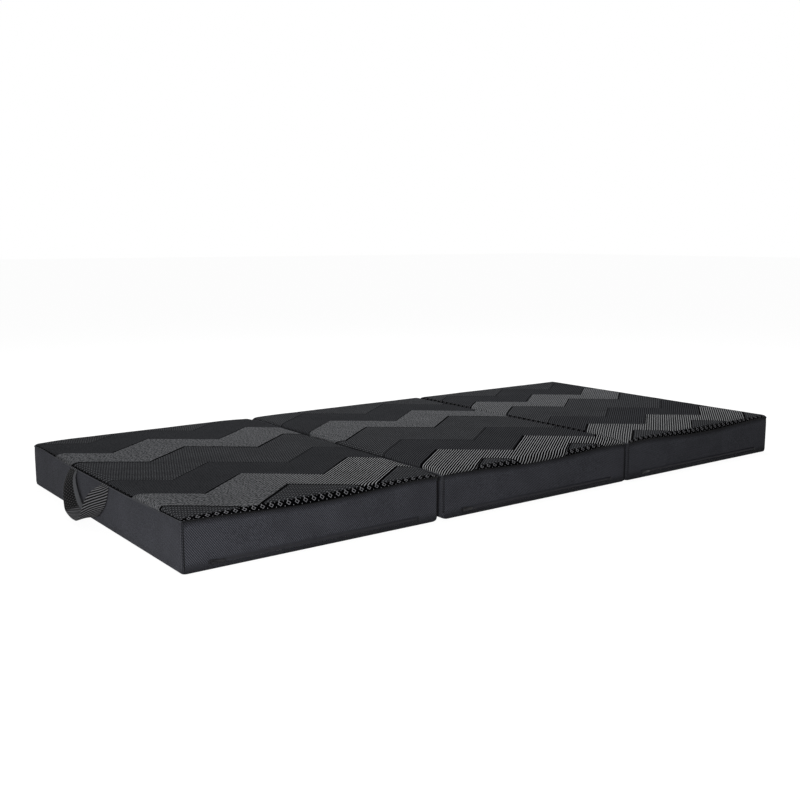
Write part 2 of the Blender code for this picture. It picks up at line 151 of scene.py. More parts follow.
def wander(x: np.ndarray, y: np.ndarray, wave: float, seed: int) -> np.ndarray:
    """Give a smooth uneven height over a plane, the same at each run.

    Args:
        x: Places along the mattress.
        y: Places across it.
        wave: The usual distance from one rise to the next.
        seed: Which of many such surfaces.

    Returns:
        Heights from about -1 to 1.
    """
    rng = np.random.default_rng(seed)
    total = np.zeros_like(x)
    for turn, phase, stretch in rng.uniform(0, 1, (7, 3)):
        angle = 2 * math.pi * turn
        pace = 2 * math.pi / (wave * (0.7 + 0.9 * stretch))
        total += np.sin(pace * (x * math.cos(angle) + y * math.sin(angle)) + 2 * math.pi * phase)
    return total / 4.5


def deselect_all() -> None:
    """Clear the selection, so that an operator acts only on what it is meant for."""
    for thing in bpy.context.scene.objects:
        thing.select_set(False)
    bpy.context.view_layer.objects.active = None


def make_active(piece: Object) -> None:
    """Select one piece alone and make it active.

    Args:
        piece: The piece to select.
    """
    deselect_all()
    piece.select_set(True)
    bpy.context.view_layer.objects.active = piece


def apply_modifiers(piece: Object) -> None:
    """Apply every modifier on a piece, in order.

    Args:
        piece: The piece whose modifiers are applied.
    """
    make_active(piece)
    for name in [m.name for m in piece.modifiers]:
        bpy.ops.object.modifier_apply(modifier=name)


def keep_edges(piece: Object, degrees: float) -> None:
    """Shade a piece smooth except over edges sharper than an angle."""
    make_active(piece)
    bpy.ops.object.shade_smooth_by_angle(angle=math.radians(degrees))


def edit_all(change: Callable, **settings: object) -> None:
    """Run one edit-mode operator on the whole of the active piece.

    Args:
        change: The operator.
        settings: What it is called with.
    """
    bpy.ops.object.mode_set(mode="EDIT")
    bpy.ops.mesh.select_all(action="SELECT")
    change(**settings)
    bpy.ops.object.mode_set(mode="OBJECT")


def stand(name: str, data: object) -> Object:
    """Link a new object with its data to the scene.

    Args:
        name: The object's name.
        data: Its mesh, lamp or camera.

    Returns:
        The new object.
    """
    made = bpy.data.objects.new(name, data)
    bpy.context.scene.collection.objects.link(made)
    return made


def cube_at(node: str, name: str) -> Object:
    """Make a cube, with its origin in the frame's, that fills a CAD node's box.

    Args:
        node: The CAD node.
        name: The piece's name.

    Returns:
        The new piece, with its origin in the frame's.
    """
    low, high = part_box(node)
    deselect_all()
    bpy.ops.mesh.primitive_cube_add(size=1, location=(low + high) / 2, scale=high - low)
    bpy.ops.object.transform_apply(location=True, rotation=True, scale=True)
    piece = bpy.context.active_object
    piece.name = name
    return piece


def thicken(piece: Object, thickness: float, offset: float) -> None:
    """Give an open sheet a wall: to both sides with offset 0, to its back with -1.

    Args:
        piece: The open sheet.
        thickness: The wall's thickness.
        offset: 0 for both sides of the sheet, -1 for its back.
    """
    wall = piece.modifiers.new("wall", "SOLIDIFY")
    wall.thickness, wall.offset = thickness, offset
    apply_modifiers(piece)


def grid_faces(shape: tuple[int, int]) -> list:
    """Return the four corners of each face of a grid of numbered points.

    Args:
        shape: The grid's numbers of points.

    Returns:
        Four point numbers per face.
    """
    numbers = np.arange(shape[0] * shape[1]).reshape(shape)
    corners = numbers[:-1, :-1], numbers[1:, :-1], numbers[1:, 1:], numbers[:-1, 1:]
    return np.stack(corners, axis=-1).reshape(-1, 4).tolist()


def strip(name: str, lines: list, thick: float) -> Object:
    """Make a thin sheet that is the same number of points wide all along.

    Args:
        name: The piece's name.
        lines: Its lines of points, one after another along the sheet.
        thick: Its thickness.

    Returns:
        The new piece.
    """
    grid = np.array(lines)
    points = grid.reshape(-1, 3)
    faces = [(a, d, c, b) for a, b, c, d in grid_faces(grid.shape[:2])]
    piece = mesh_piece(name, points, faces, {"Fabric": points[:, 1:]})
    thicken(piece, thick, 0)
    return piece


def mesh_piece(name: str, points: np.ndarray, faces: list, maps: dict[str, np.ndarray]) -> Object:
    """Make an object at the origin from points and faces, with cloth coordinates as UV maps.

    Args:
        name: The piece's name.
        points: Rows of x, y and z in metres.
        faces: Rows of point numbers.
        maps: UV maps by name, one row of u and v per point, in metres.

    Returns:
        The new object, with smooth faces.
    """
    mesh = bpy.data.meshes.new(name)
    mesh.from_pydata([tuple(p) for p in points], [], [tuple(f) for f in faces])
    corner = np.zeros(len(mesh.loops), np.int32)
    mesh.loops.foreach_get("vertex_index", corner)
    for title, flat in maps.items():
        spread = np.asarray(flat, np.float32)[corner]
        mesh.uv_layers.new(name=title).data.foreach_set("uv", spread.ravel())
    mesh.polygons.foreach_set("use_smooth", [True] * len(mesh.polygons))
    return stand(name, mesh)


def loft(rings: np.ndarray, closed: bool,
         across: np.ndarray) -> tuple[np.ndarray, list, np.ndarray]:
    """Skin a stack of rings that each go round once.

    Args:
        rings: Points as stack by place round the ring by x, y, z.
        closed: Whether the last ring joins the first; otherwise both ends are capped.
        across: The u coordinate of each place round the ring.

    Returns:
        Points, faces and the matching UV rows, whose v is the height.
    """
    count, around = rings.shape[:2]
    points = rings.reshape(-1, 3)
    faces = []
    for level in range(count if closed else count - 1):
        low, high = level * around, (level + 1) % count * around
        for i in range(around):
            j = (i + 1) % around
            faces.append((low + i, low + j, high + j, high + i))
    if not closed:
        faces.append(tuple(range(around))[::-1])
        faces.append(tuple(range((count - 1) * around, count * around)))
    flat = np.stack([np.tile(across, count), points[:, 2]], axis=1)
    return points, faces, flat


def mend_round(piece: Object, name: str, girth: float) -> None:
    """Carry a UV map over the place where it comes round to 0.

    Args:
        piece: The piece whose map goes round it.
        name: The UV map.
        girth: The length at which its u comes round.
    """
    layer = piece.data.uv_layers[name].data
    for face in piece.data.polygons:
        if face.loop_total > 4:
            continue
        loops = range(face.loop_start, face.loop_start + face.loop_total)
        u = [layer[i].uv[0] for i in loops]
        if max(u) - min(u) > girth / 2:
            for i in loops:
                if layer[i].uv[0] < girth / 2:
                    layer[i].uv[0] += girth


# Finishes


class Finish:
    """A real material, made in Blender when a piece first asks for it."""

    name: str

    def look(self, add: Add) -> Look:
        """Return what goes to the Principled shader's inputs, by their names.

        Args:
            add: Adds a node to the material.

        Returns:
            Values and nodes for the Principled shader's inputs, by their names.
        """
        raise NotImplementedError

    def material(self) -> Material:
        """Return the finish's material, made once.

        Returns:
            The material that all pieces of this finish share.
        """
        found = bpy.data.materials.get(self.name)
        if found:
            return found
        made = bpy.data.materials.new(self.name)
        made.use_nodes = True
        tree = made.node_tree
        sockets = tree.nodes["Principled BSDF"].inputs
        sockets["Sheen Roughness"].default_value = 0.6
        for key, given in self.look(partial(add_node, tree)).items():
            feed(tree, sockets[key], given)
        return made


@dataclass(frozen=True)
class JacquardKnit(Finish):
    """Jacquard knit polyester: zigzag stripes of ribbed, twilled and dotted stitches.

    It gives the eye bright diagonal ribs on near black, and a silver lattice at the rolled edge.
    """

    # The zigzag's length along the mattress, the place of its first peak along and of the ribbed
    # stripe's upper edge there across, its steepness, the stripes' repeat across, and how far the
    # ribbed stripe's lower edge is moved along and where in the repeat it starts
    number: int
    period: float
    peak: float
    band_peak: float
    slope: float
    repeat: float
    low_shift: float
    band_from: float
    # How clear the ribs are in the near and in the far half, and where along they fade in
    clear: Pair = (1.0, 0.12)
    fade: Pair = (-9.0, -8.0)
    skew: float = 0.0
    line_at: float = 0.305
    rib_pitch: float = 6.2 * MM
    twill_pitch: float = 5.8 * MM
    dot_pitch: Pair = (6.0 * MM, 12.0 * MM)
    fleck: Pair = (2.8 * MM, 8.0 * MM)
    trim_height: float = 14.0 * MM
    trim_pitch: float = 20.0 * MM
    trim_over: float = 0.0
    edge_wide: float = 7.0
    # The silver lattice: the diamonds' middle height, half width and half height, then height and
    # size of the dots low between two diamonds, over each diamond, and high between two
    diamond: Triple = (7.4 * MM, 5.8 * MM, 4.8 * MM)
    low_dot: Pair = (2.2 * MM, 1.3 * MM)
    high_dot: Pair = (12.6 * MM, 1.6 * MM)
    mid_dot: Pair = (12.4 * MM, 1.1 * MM)

    @property
    def name(self) -> str:
        """Return the material's name: each panel has its own piece of the cloth."""
        return f"jacquard_knit_polyester_{self.number}"

    def look(self, add: Add) -> Look:
        """Return the knit's colour, stitch relief and dull surface.

        Args:
            add: Adds a node to the material.

        Returns:
            Values and nodes for the Principled shader's inputs, by their names.
        """
        cloth = add("SeparateXYZ", add("UVMap", uv_map="Fabric"))
        zones, zone_height, in_band = self.stripes(add, cloth.outputs[0], cloth.outputs[1])
        trim, trim_mask, trim_height = self.lattice(add, in_band)
        colour = add("Mix RGBA", trim_mask, zones, trim)
        # Cloth lots and light wear: slow changes of a few per cent over about 80 mm
        cloud = add("TexNoise", cloth_vector(add), 12.0, 3.0)
        shade = add("MapRange", cloud, 0.3, 0.7, 0.93, 1.07)
        height = add("Mix FLOAT", trim_mask, zone_height, trim_height)
        return {"Roughness": 0.9, "Specular IOR Level": 0.0,
                "Base Color": add("VectorMath MULTIPLY", colour, shade),
                "Normal": add("Bump", 1.0, 0.7 * MM, None, height)}

    def stripe_share(self, add: Add, x: NodeSocket,
                     y: NodeSocket, shift: float, start: float) -> Node:
        """Tell how far a point is through the stripe repeat.

        Args:
            add: Adds a node to the material.
            x: The cloth's coordinate along the mattress.
            y: The cloth's coordinate across it.
            shift: How far along the zigzag's peaks are moved.
            start: The share of the repeat from which the result counts.

        Returns:
            A node whose value goes from 0 to 1 in each repeat.
        """
        place = add("MULTIPLY_ADD", y, -self.skew, x)
        shifted = add("SUBTRACT", place, self.peak + shift)
        fold = add("PINGPONG", shifted, self.period / 2)
        climb = add("MULTIPLY_ADD", fold, self.slope, y)
        raised = add("SUBTRACT", climb, self.band_peak)
        scaled = add("MULTIPLY_ADD", raised, 1 / self.repeat, -start)
        return add("FRACT", scaled)

    def stripes(self, add: Add, x: NodeSocket, y: NodeSocket) -> tuple[Node, ...]:
        """Return the colour and height of the three stitch zones, and where the ribbed one is.

        Args:
            add: Adds a node to the material.
            x: The cloth's coordinate along the mattress.
            y: The cloth's coordinate across it.

        Returns:
            The colour, the height, and 1 inside the ribbed stripe.
        """
        upper = self.stripe_share(add, x, y, 0.0, -0.5)
        lower = self.stripe_share(add, x, y, self.low_shift, self.band_from)
        lean = math.atan(self.slope)
        across = self.turned(add, x, y, -math.sin(lean), math.cos(lean))
        along = self.turned(add, x, y, math.sin(lean), math.cos(lean))
        ribs = self.wave(add, across, self.rib_pitch, 0.52, 1.0)
        fine = self.wave(add, across, self.twill_pitch, -0.4, 1.0)
        columns = self.wave(add, across, self.dot_pitch[0], -0.3, 0.8)
        rows = self.wave(add, along, self.dot_pitch[1], -0.5, 0.7)
        dots = add("MULTIPLY", columns, rows)
        # Heather yarn changes shade every millimetre or two; drawn as flecks of 2.8 by 8 mm
        cells = add("CombineXYZ", add("MULTIPLY", across, 1 / self.fleck[0]),
                    add("MULTIPLY", along, 1 / self.fleck[1]))
        fleck = add("MapRange", add("TexNoise", cells, 1.0, 1.0), 0.32, 0.7, 0.0, 1.0)
        heather = add("Mix RGBA", fleck, linear("#202123"), linear("#808184"))
        ribbed = add("Mix RGBA", ribs, linear("#030304"), linear("#d6d7d9"))
        clear = add("MULTIPLY", add("MapRange", y, -0.13, -0.02, self.clear[0], self.clear[1]),
                    add("MapRange", x, self.fade[0], self.fade[1], 0.12, 1.0))
        band = add("Mix RGBA", clear, heather, ribbed)
        twill_level = add("MULTIPLY_ADD", fleck, 0.35, fine)
        twill = add("Mix RGBA", twill_level, linear("#131416"), linear("#4b4c4f"))
        spotted = add("MULTIPLY_ADD", fleck, 0.22, dots)
        dotted = add("Mix RGBA", spotted, linear("#212224"), linear("#6a6b6e"))
        over_low = add("LESS_THAN", lower, 0.4)
        under_top = add("LESS_THAN", upper, 0.5)
        in_band = add("MULTIPLY", over_low, under_top)
        under_line = add("LESS_THAN", upper, 0.5 + self.line_at)
        in_twill = add("SUBTRACT", under_line, under_top)
        ground = add("Mix RGBA", in_twill, dotted, twill)
        whole = add("Mix RGBA", in_band, ground, band)
        low_height = add("Mix FLOAT", in_twill, dots, fine)
        raised = add("Mix FLOAT", clear, fleck, ribs)
        height = add("Mix FLOAT", in_band, low_height, raised)
        # The stripes' borders are sunk grooves drawn near black: partly dark yarn, partly painted
        # shade in the groove
        step = MM / (self.repeat * math.cos(lean))
        turn = add("MULTIPLY_ADD", x, 1 / self.period, -self.peak / self.period)
        riser = add("GREATER_THAN", add("FRACT", turn), 0.5)
        lower_edge = add("GREATER_THAN", lower, 1 - self.edge_wide * step)
        top_line = add("COMPARE", upper, 0.5 + 1.2 * step, 1.6 * step)
        top_edge = add("MULTIPLY", top_line, riser)
        thin = add("COMPARE", upper, 0.5 + self.line_at, 2.0 * step)
        edges = add("MAXIMUM", lower_edge, top_edge)
        shaded_grooves = add("MULTIPLY_ADD", thin, 0.55, edges, use_clamp=True)
        sunk = add("MULTIPLY_ADD", shaded_grooves, -1.2, height)
        # Near black in the grooves: dark yarn and painted shade
        dark = add("Mix RGBA", shaded_grooves, whole, linear("#040405"))
        return dark, sunk, in_band

    def turned(self, add: Add, x: NodeSocket, y: NodeSocket,
               x_share: float, y_share: float) -> Node:
        """Return the distance along a direction in the cloth, in metres."""
        part = add("MULTIPLY", x, x_share)
        return add("MULTIPLY_ADD", y, y_share, part)

    def wave(self, add: Add, place: Node, pitch: float, low: float, high: float) -> Node:
        """Return rounded ridges of one pitch, 0 in the furrows and 1 on the ridges."""
        pace = add("MULTIPLY", place, 2 * math.pi / pitch)
        return add("MapRange", add("SINE", pace), low, high, 0.0, 1.0)

    def lattice(self, add: Add, in_band: Node) -> tuple[Node, ...]:
        """Return the colour, mask and height of the silver lattice along the rolled edge.

        Args:
            add: Adds a node to the material.
            in_band: Gives 1 inside the ribbed stripe.

        Returns:
            The colour, 1 where the lattice covers the stripes, and the height.
        """
        edge = add("SeparateXYZ", add("UVMap", uv_map="Edge"))
        along, up = edge.outputs[0], edge.outputs[1]
        where = add("SeparateXYZ", add("UVMap", uv_map="Side"))
        side, end_reach = where.outputs[0], where.outputs[1]
        half = self.trim_pitch / 2
        beside = add("PINGPONG", along, half)
        between = add("SUBTRACT", half, beside)
        height, half_wide, half_high = self.diamond
        middle = add("ABSOLUTE", add("SUBTRACT", up, height))
        wide = add("DIVIDE", beside, half_wide)
        diamond = add("MULTIPLY_ADD", middle, 1 / half_high, wide)
        lit = add("COMPARE", diamond, 0.8, 0.17)
        for place, dot in ((between, self.low_dot), (beside, self.high_dot),
                           (between, self.mid_dot)):
            lit = add("MAXIMUM", lit, self.spot(add, place, up, *dot))
        reach = add("MapRange", side, 0.0, 1.0, end_reach, self.trim_height)
        near = add("LESS_THAN", up, reach)
        over = add("MapRange", side, 0.6, 0.9, 1.0, 1 - self.trim_over)
        under = add("MULTIPLY", in_band, over)
        clear = add("SUBTRACT", 1.0, under)
        mask = add("MULTIPLY", near, clear)
        shine = add("MapRange", side, 0.0, 1.0, 0.38, 1.0)
        drawn = add("MULTIPLY", lit, shine)
        colour = add("Mix RGBA", drawn, linear("#060607"), linear("#8b8b8f"))
        return colour, mask, lit

    def spot(self, add: Add, beside: Node, up: NodeSocket, height: float, size: float) -> Node:
        """Return 1 inside a small diamond-shaped stitch at a height in the trim, else 0.

        Args:
            add: Adds a node to the material.
            beside: The distance from the stitch along the edge.
            up: The height in the trim.
            height: The stitch's own height.
            size: Half its width.

        Returns:
            A node with the share.
        """
        rise = add("ABSOLUTE", add("SUBTRACT", up, height))
        reach = add("ADD", rise, beside)
        return add("LESS_THAN", reach, size)


def cloth_vector(add: Add) -> NodeSocket:
    """Return the object's own coordinates, in metres."""
    return add("TexCoord").outputs["Object"]


@dataclass(frozen=True)
class TwillCloth(Finish):
    """Woven polyester twill: fine diagonal wales in bluish black, with a faint fibre sheen."""

    name: str = "woven_polyester_twill"
    dark: str = "#17181c"
    light: str = "#64656d"
    pitch: float = 3.6 * MM
    lean: float = math.radians(52)
    # How far across the mattress its long walls start and are full; only they take the painted seam
    # and foot shade
    front: Pair = (0.438, 0.444)

    def look(self, add: Add) -> Look:
        """Return the twill's colour, wales, and the painted shade under the seam, at the corners and
        at the foot.

        Args:
            add: Adds a node to the material.

        Returns:
            Values and nodes for the Principled shader's inputs, by their names.
        """
        cloth = add("SeparateXYZ", add("UVMap", uv_map="Fabric"))
        u, v = cloth.outputs[0], cloth.outputs[1]
        # Real wales are 1.5 mm apart; drawn at 3.6 mm, the finest that shows
        ridge = self.wales(add, u, v, self.pitch, self.lean)
        cross = self.wales(add, u, v, self.pitch * 1.2, -self.lean)
        woven = add("MULTIPLY", ridge, add("MULTIPLY_ADD", cross, 0.45, 0.55))
        fibre = add("TexNoise", cloth_vector(add), 420.0, 1.0)
        speck = add("MULTIPLY_ADD", fibre, 0.8, woven)
        level = add("MapRange", speck, 0.25, 1.45, 0.0, 1.0)
        colour = add("Mix RGBA", level, linear(self.dark), linear(self.light))
        # Painted shade: cloth drawn into a seam lies in folds too small to model, and their shade is
        # painted as a darker margin under the seam of the long walls and near the corners. The slow
        # cloud changes the cloth's tone a few per cent at random
        cloud = add("TexNoise", cloth_vector(add), 14.0, 2.0)
        slow = add("MapRange", cloud, 0.3, 0.7, 0.88, 1.12)
        shade_reach = add("SeparateXYZ", add("UVMap", uv_map="Hem"))
        seam_shade = add("MapRange", shade_reach.outputs[0], 0.0, 13 * MM, 0.42, 1.0,
                         interpolation_type="SMOOTHSTEP")
        corner_shade = add("MapRange", shade_reach.outputs[1], 2 * MM, 9 * MM, 0.55, 1.0,
                        interpolation_type="SMOOTHSTEP")
        # Painted shade at the foot of the long walls: 40 per cent of the colour at 3 mm up, none
        # from 24 mm
        spot = add("SeparateXYZ", cloth_vector(add))
        wide = add("ABSOLUTE", spot.outputs[1])
        front = add("MapRange", wide, *self.front, 0.0, 1.0)
        low = add("MapRange", spot.outputs[2], 3 * MM, 24 * MM, 0.6, 0.0)
        foot = add("MULTIPLY_ADD", add("MULTIPLY", low, front), -1.0, 1.0)
        # The cloth's slow changes of tone, times the painted seam, corner and foot shade
        shade = slow
        for part in (add("Mix FLOAT", front, 1.0, seam_shade), corner_shade, foot):
            shade = add("MULTIPLY", shade, part)
        return {"Roughness": 0.9, "Sheen Weight": 0.02, "Specular IOR Level": 0.1,
                "Base Color": add("VectorMath MULTIPLY", colour, shade),
                "Normal": add("Bump", 0.8, 0.25 * MM, None, speck)}

    def wales(self, add: Add, u: NodeSocket, v: NodeSocket, pitch: float, lean: float) -> Node:
        """Return the twill's slanting ridges, from 0 to 1.

        Args:
            add: Adds a node to the material.
            u: The cloth's first coordinate.
            v: The cloth's second coordinate.
            pitch: The distance from wale to wale.
            lean: Their slant.

        Returns:
            A node with the share.
        """
        pace = 2 * math.pi / pitch
        part = add("MULTIPLY", u, pace * math.sin(lean))
        wale = add("MULTIPLY_ADD", v, pace * math.cos(lean), part)
        return add("MapRange", add("SINE", wale), -0.8, 1.0, 0.0, 1.0)


@dataclass(frozen=True)
class PlainWeave(Finish):
    """Plain weave or fine warp knit for the piping and both folds: small even squares."""

    name: str
    dark: str
    light: str
    pitch: float = 3.0 * MM
    front_shade: float = 1.0
    # How far across the mattress that shade starts and is full
    front: Pair = (0.448, 0.45)

    def look(self, add: Add) -> Look:
        """Return the weave's colour and its small squares.

        Args:
            add: Adds a node to the material.

        Returns:
            Values and nodes for the Principled shader's inputs, by their names.
        """
        place = add("SeparateXYZ", cloth_vector(add))
        waves = []
        for axis in range(3):
            pace = add("MULTIPLY_ADD", place.outputs[axis], 2 * math.pi / self.pitch, 0.4)
            waves.append(add("SINE", pace))
        flat = add("ADD", waves[0], waves[1])
        total = add("ADD", flat, waves[2])
        level = add("MapRange", total, -2.0, 2.0, 0.0, 1.0)
        fibre = add("TexNoise", cloth_vector(add), 700.0, 2.0)
        mixed = add("MULTIPLY_ADD", fibre, 0.5, level)
        colour = add("Mix RGBA", add("SUBTRACT", mixed, 0.25), linear(self.dark),
                     linear(self.light))
        # On the long sides the roll of the top hangs over the cord and hides most of its light
        wide = add("ABSOLUTE", place.outputs[1])
        shade = add("MapRange", wide, *self.front, 1.0, self.front_shade)
        return {"Roughness": 0.9, "Sheen Weight": 0.03, "Specular IOR Level": 0.12,
                "Base Color": add("VectorMath MULTIPLY", colour, shade),
                "Normal": add("Bump", 0.8, 0.2 * MM, None, mixed)}


@dataclass(frozen=True)
class LatticeStrap(Finish):
    """Jacquard webbing: a dotted silver lattice on black, with a plain grey selvedge stripe."""

    name: str = "jacquard_lattice_webbing"
    pitch: float = 8.3 * MM
    lattice_pitch: float = 8.5 * MM
    stripe_at: float = 12.5 * MM
    crossing: float = 38 * MM

    def look(self, add: Add) -> Look:
        """Return the webbing's colour and raised lines, which differ from face to face.

        Args:
            add: Adds a node to the material.

        Returns:
            Values and nodes for the Principled shader's inputs, by their names.
        """
        cloth = add("SeparateXYZ", add("UVMap", uv_map="Fabric"))
        u, v_raw = cloth.outputs[0], cloth.outputs[1]
        inside = add("GREATER_THAN", v_raw, INNER_FACE / 2)
        v = add("MULTIPLY_ADD", inside, -INNER_FACE, v_raw)
        pace = 2 * math.pi / self.pitch
        ribs = self.lines(add, u, v, pace, 0.75)
        back = self.lines(add, u, v, pace, -0.75)
        middle = add("ABSOLUTE", u)
        near = add("MapRange", middle, self.crossing * 0.7, self.crossing, 1.0, 0.0)
        crossed = add("MAXIMUM", ribs, add("MULTIPLY", back, near))
        close = 2 * math.pi / self.lattice_pitch
        small = self.lines(add, u, v, close, 0.8)
        other = self.lines(add, u, v, close, -0.8)
        woven = add("MULTIPLY", add("MULTIPLY", small, other), 0.4)
        inner = add("MAXIMUM", woven, add("MULTIPLY", ribs, near))
        lit = add("Mix FLOAT", inside, crossed, inner)
        colour = add("Mix RGBA", lit, linear("#050506"), linear("#7c7c7f"))
        stripe = add("MULTIPLY", add("LESS_THAN", v, -self.stripe_at), inside)
        return {"Roughness": 0.85, "Sheen Weight": 0.02, "Specular IOR Level": 0.12,
                "Base Color": add("Mix RGBA", stripe, colour, linear("#57585b")),
                "Normal": add("Bump", 0.9, 0.4 * MM, None, lit)}

    def lines(self, add: Add, u: NodeSocket, v: Node, pace: float, lean: float) -> Node:
        """Return raised lines across the webbing that lean by a share of its width.

        Args:
            add: Adds a node to the material.
            u: The cloth's first coordinate.
            v: The cloth's second coordinate.
            pace: Radians of the line pattern per metre.
            lean: The slant.

        Returns:
            A node with the share.
        """
        place = add("MULTIPLY_ADD", v, lean, u)
        turn = add("MULTIPLY", place, pace)
        return add("MapRange", add("SINE", turn), 0.1, 0.8, 0.0, 1.0)


@dataclass(frozen=True)
class ZipNylon(Finish):
    """Nylon monofilament or its woven tape, grained by fine threads."""

    name: str
    colour: str
    rough: float
    gloss: float

    def look(self, add: Add) -> Look:
        """Return the nylon's colour and grain.

        Args:
            add: Adds a node to the material.

        Returns:
            Values and nodes for the Principled shader's inputs, by their names.
        """
        grain = add("TexNoise", cloth_vector(add), 600.0, 2.0)
        return {"Roughness": self.rough, "Specular IOR Level": self.gloss,
                "Base Color": add("Mix RGBA", grain, linear(self.colour), linear("#2a2a2e")),
                "Normal": add("Bump", 0.6, 0.1 * MM, None, grain)}


@dataclass(frozen=True)
class LacqueredZinc(Finish):
    """Die-cast zinc under black lacquer: dark, with soft highlights and faint worn patches."""

    name: str = "lacquered_zinc"

    def look(self, add: Add) -> Look:
        """Return the metal's colour and its uneven polish.

        Args:
            add: Adds a node to the material.

        Returns:
            Values and nodes for the Principled shader's inputs, by their names.
        """
        grain = add("TexNoise", cloth_vector(add), 350.0, 4.0)
        worn = add("MapRange", grain, 0.45, 0.75, 0.0, 1.0)
        return {"Metallic": 0.6,
                "Base Color": add("Mix RGBA", worn, linear("#121214"), linear("#2e2e32")),
                "Roughness": add("MapRange", grain, 0.3, 0.7, 0.26, 0.46)}


class FoamGrade(Enum):
    """The two foams of a panel, with the colour of each and the painted shade in its open cells."""

    FIRM = ("firm_polyether_foam", "#e9e6d6", "#bdb9a6")
    SOFT = ("soft_polyether_foam", "#c6d8ea", "#93abc4")


@dataclass(frozen=True)
class CellFoam(Finish):
    """Polyether foam: pale and matt, pitted by open cells about a millimetre wide."""

    grade: FoamGrade

    @property
    def name(self) -> str:
        """Return the foam's name."""
        return self.grade.value[0]

    def look(self, add: Add) -> Look:
        """Return the foam's colour, its open cells and the painted shade in them.

        Args:
            add: Adds a node to the material.

        Returns:
            Values and nodes for the Principled shader's inputs, by their names.
        """
        _, skin, pit_shade = self.grade.value
        # Open cells about a millimetre wide, painted darker than the cell walls: painted shade in
        # the pits
        cells = add("TexVoronoi", cloth_vector(add), 600.0)
        depth = add("MapRange", cells, 0.1, 0.6, 0.0, 1.0)
        return {"Roughness": 0.95, "Specular IOR Level": 0.2,
                "Base Color": add("Mix RGBA", depth, linear(pit_shade), linear(skin)),
                "Normal": add("Bump", 0.8, 0.4 * MM, None, depth)}


# The mattress's sub-assemblies


def settle(piece: Object, finish: Finish, body: str | tuple,
           nodes: tuple[str, ...] = ()) -> Object:
    """Give a piece its finish, its body and the CAD nodes it stands for.

    Args:
        piece: The finished mesh.
        finish: The real material it is made of.
        body: The body it rides on, or a tuple of two bodies and two points, for which the piece is
            left where it is, on no body.
        nodes: CAD nodes that it replaces.

    Returns:
        The same piece.
    """
    piece.data.materials.clear()
    piece.data.materials.append(finish.material())
    if isinstance(body, tuple):
        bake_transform(piece)
    else:
        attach(piece, body)
    if nodes:
        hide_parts(*nodes)
    LOG.info("%s: %d faces", piece.name, len(piece.data.polygons))
    return piece


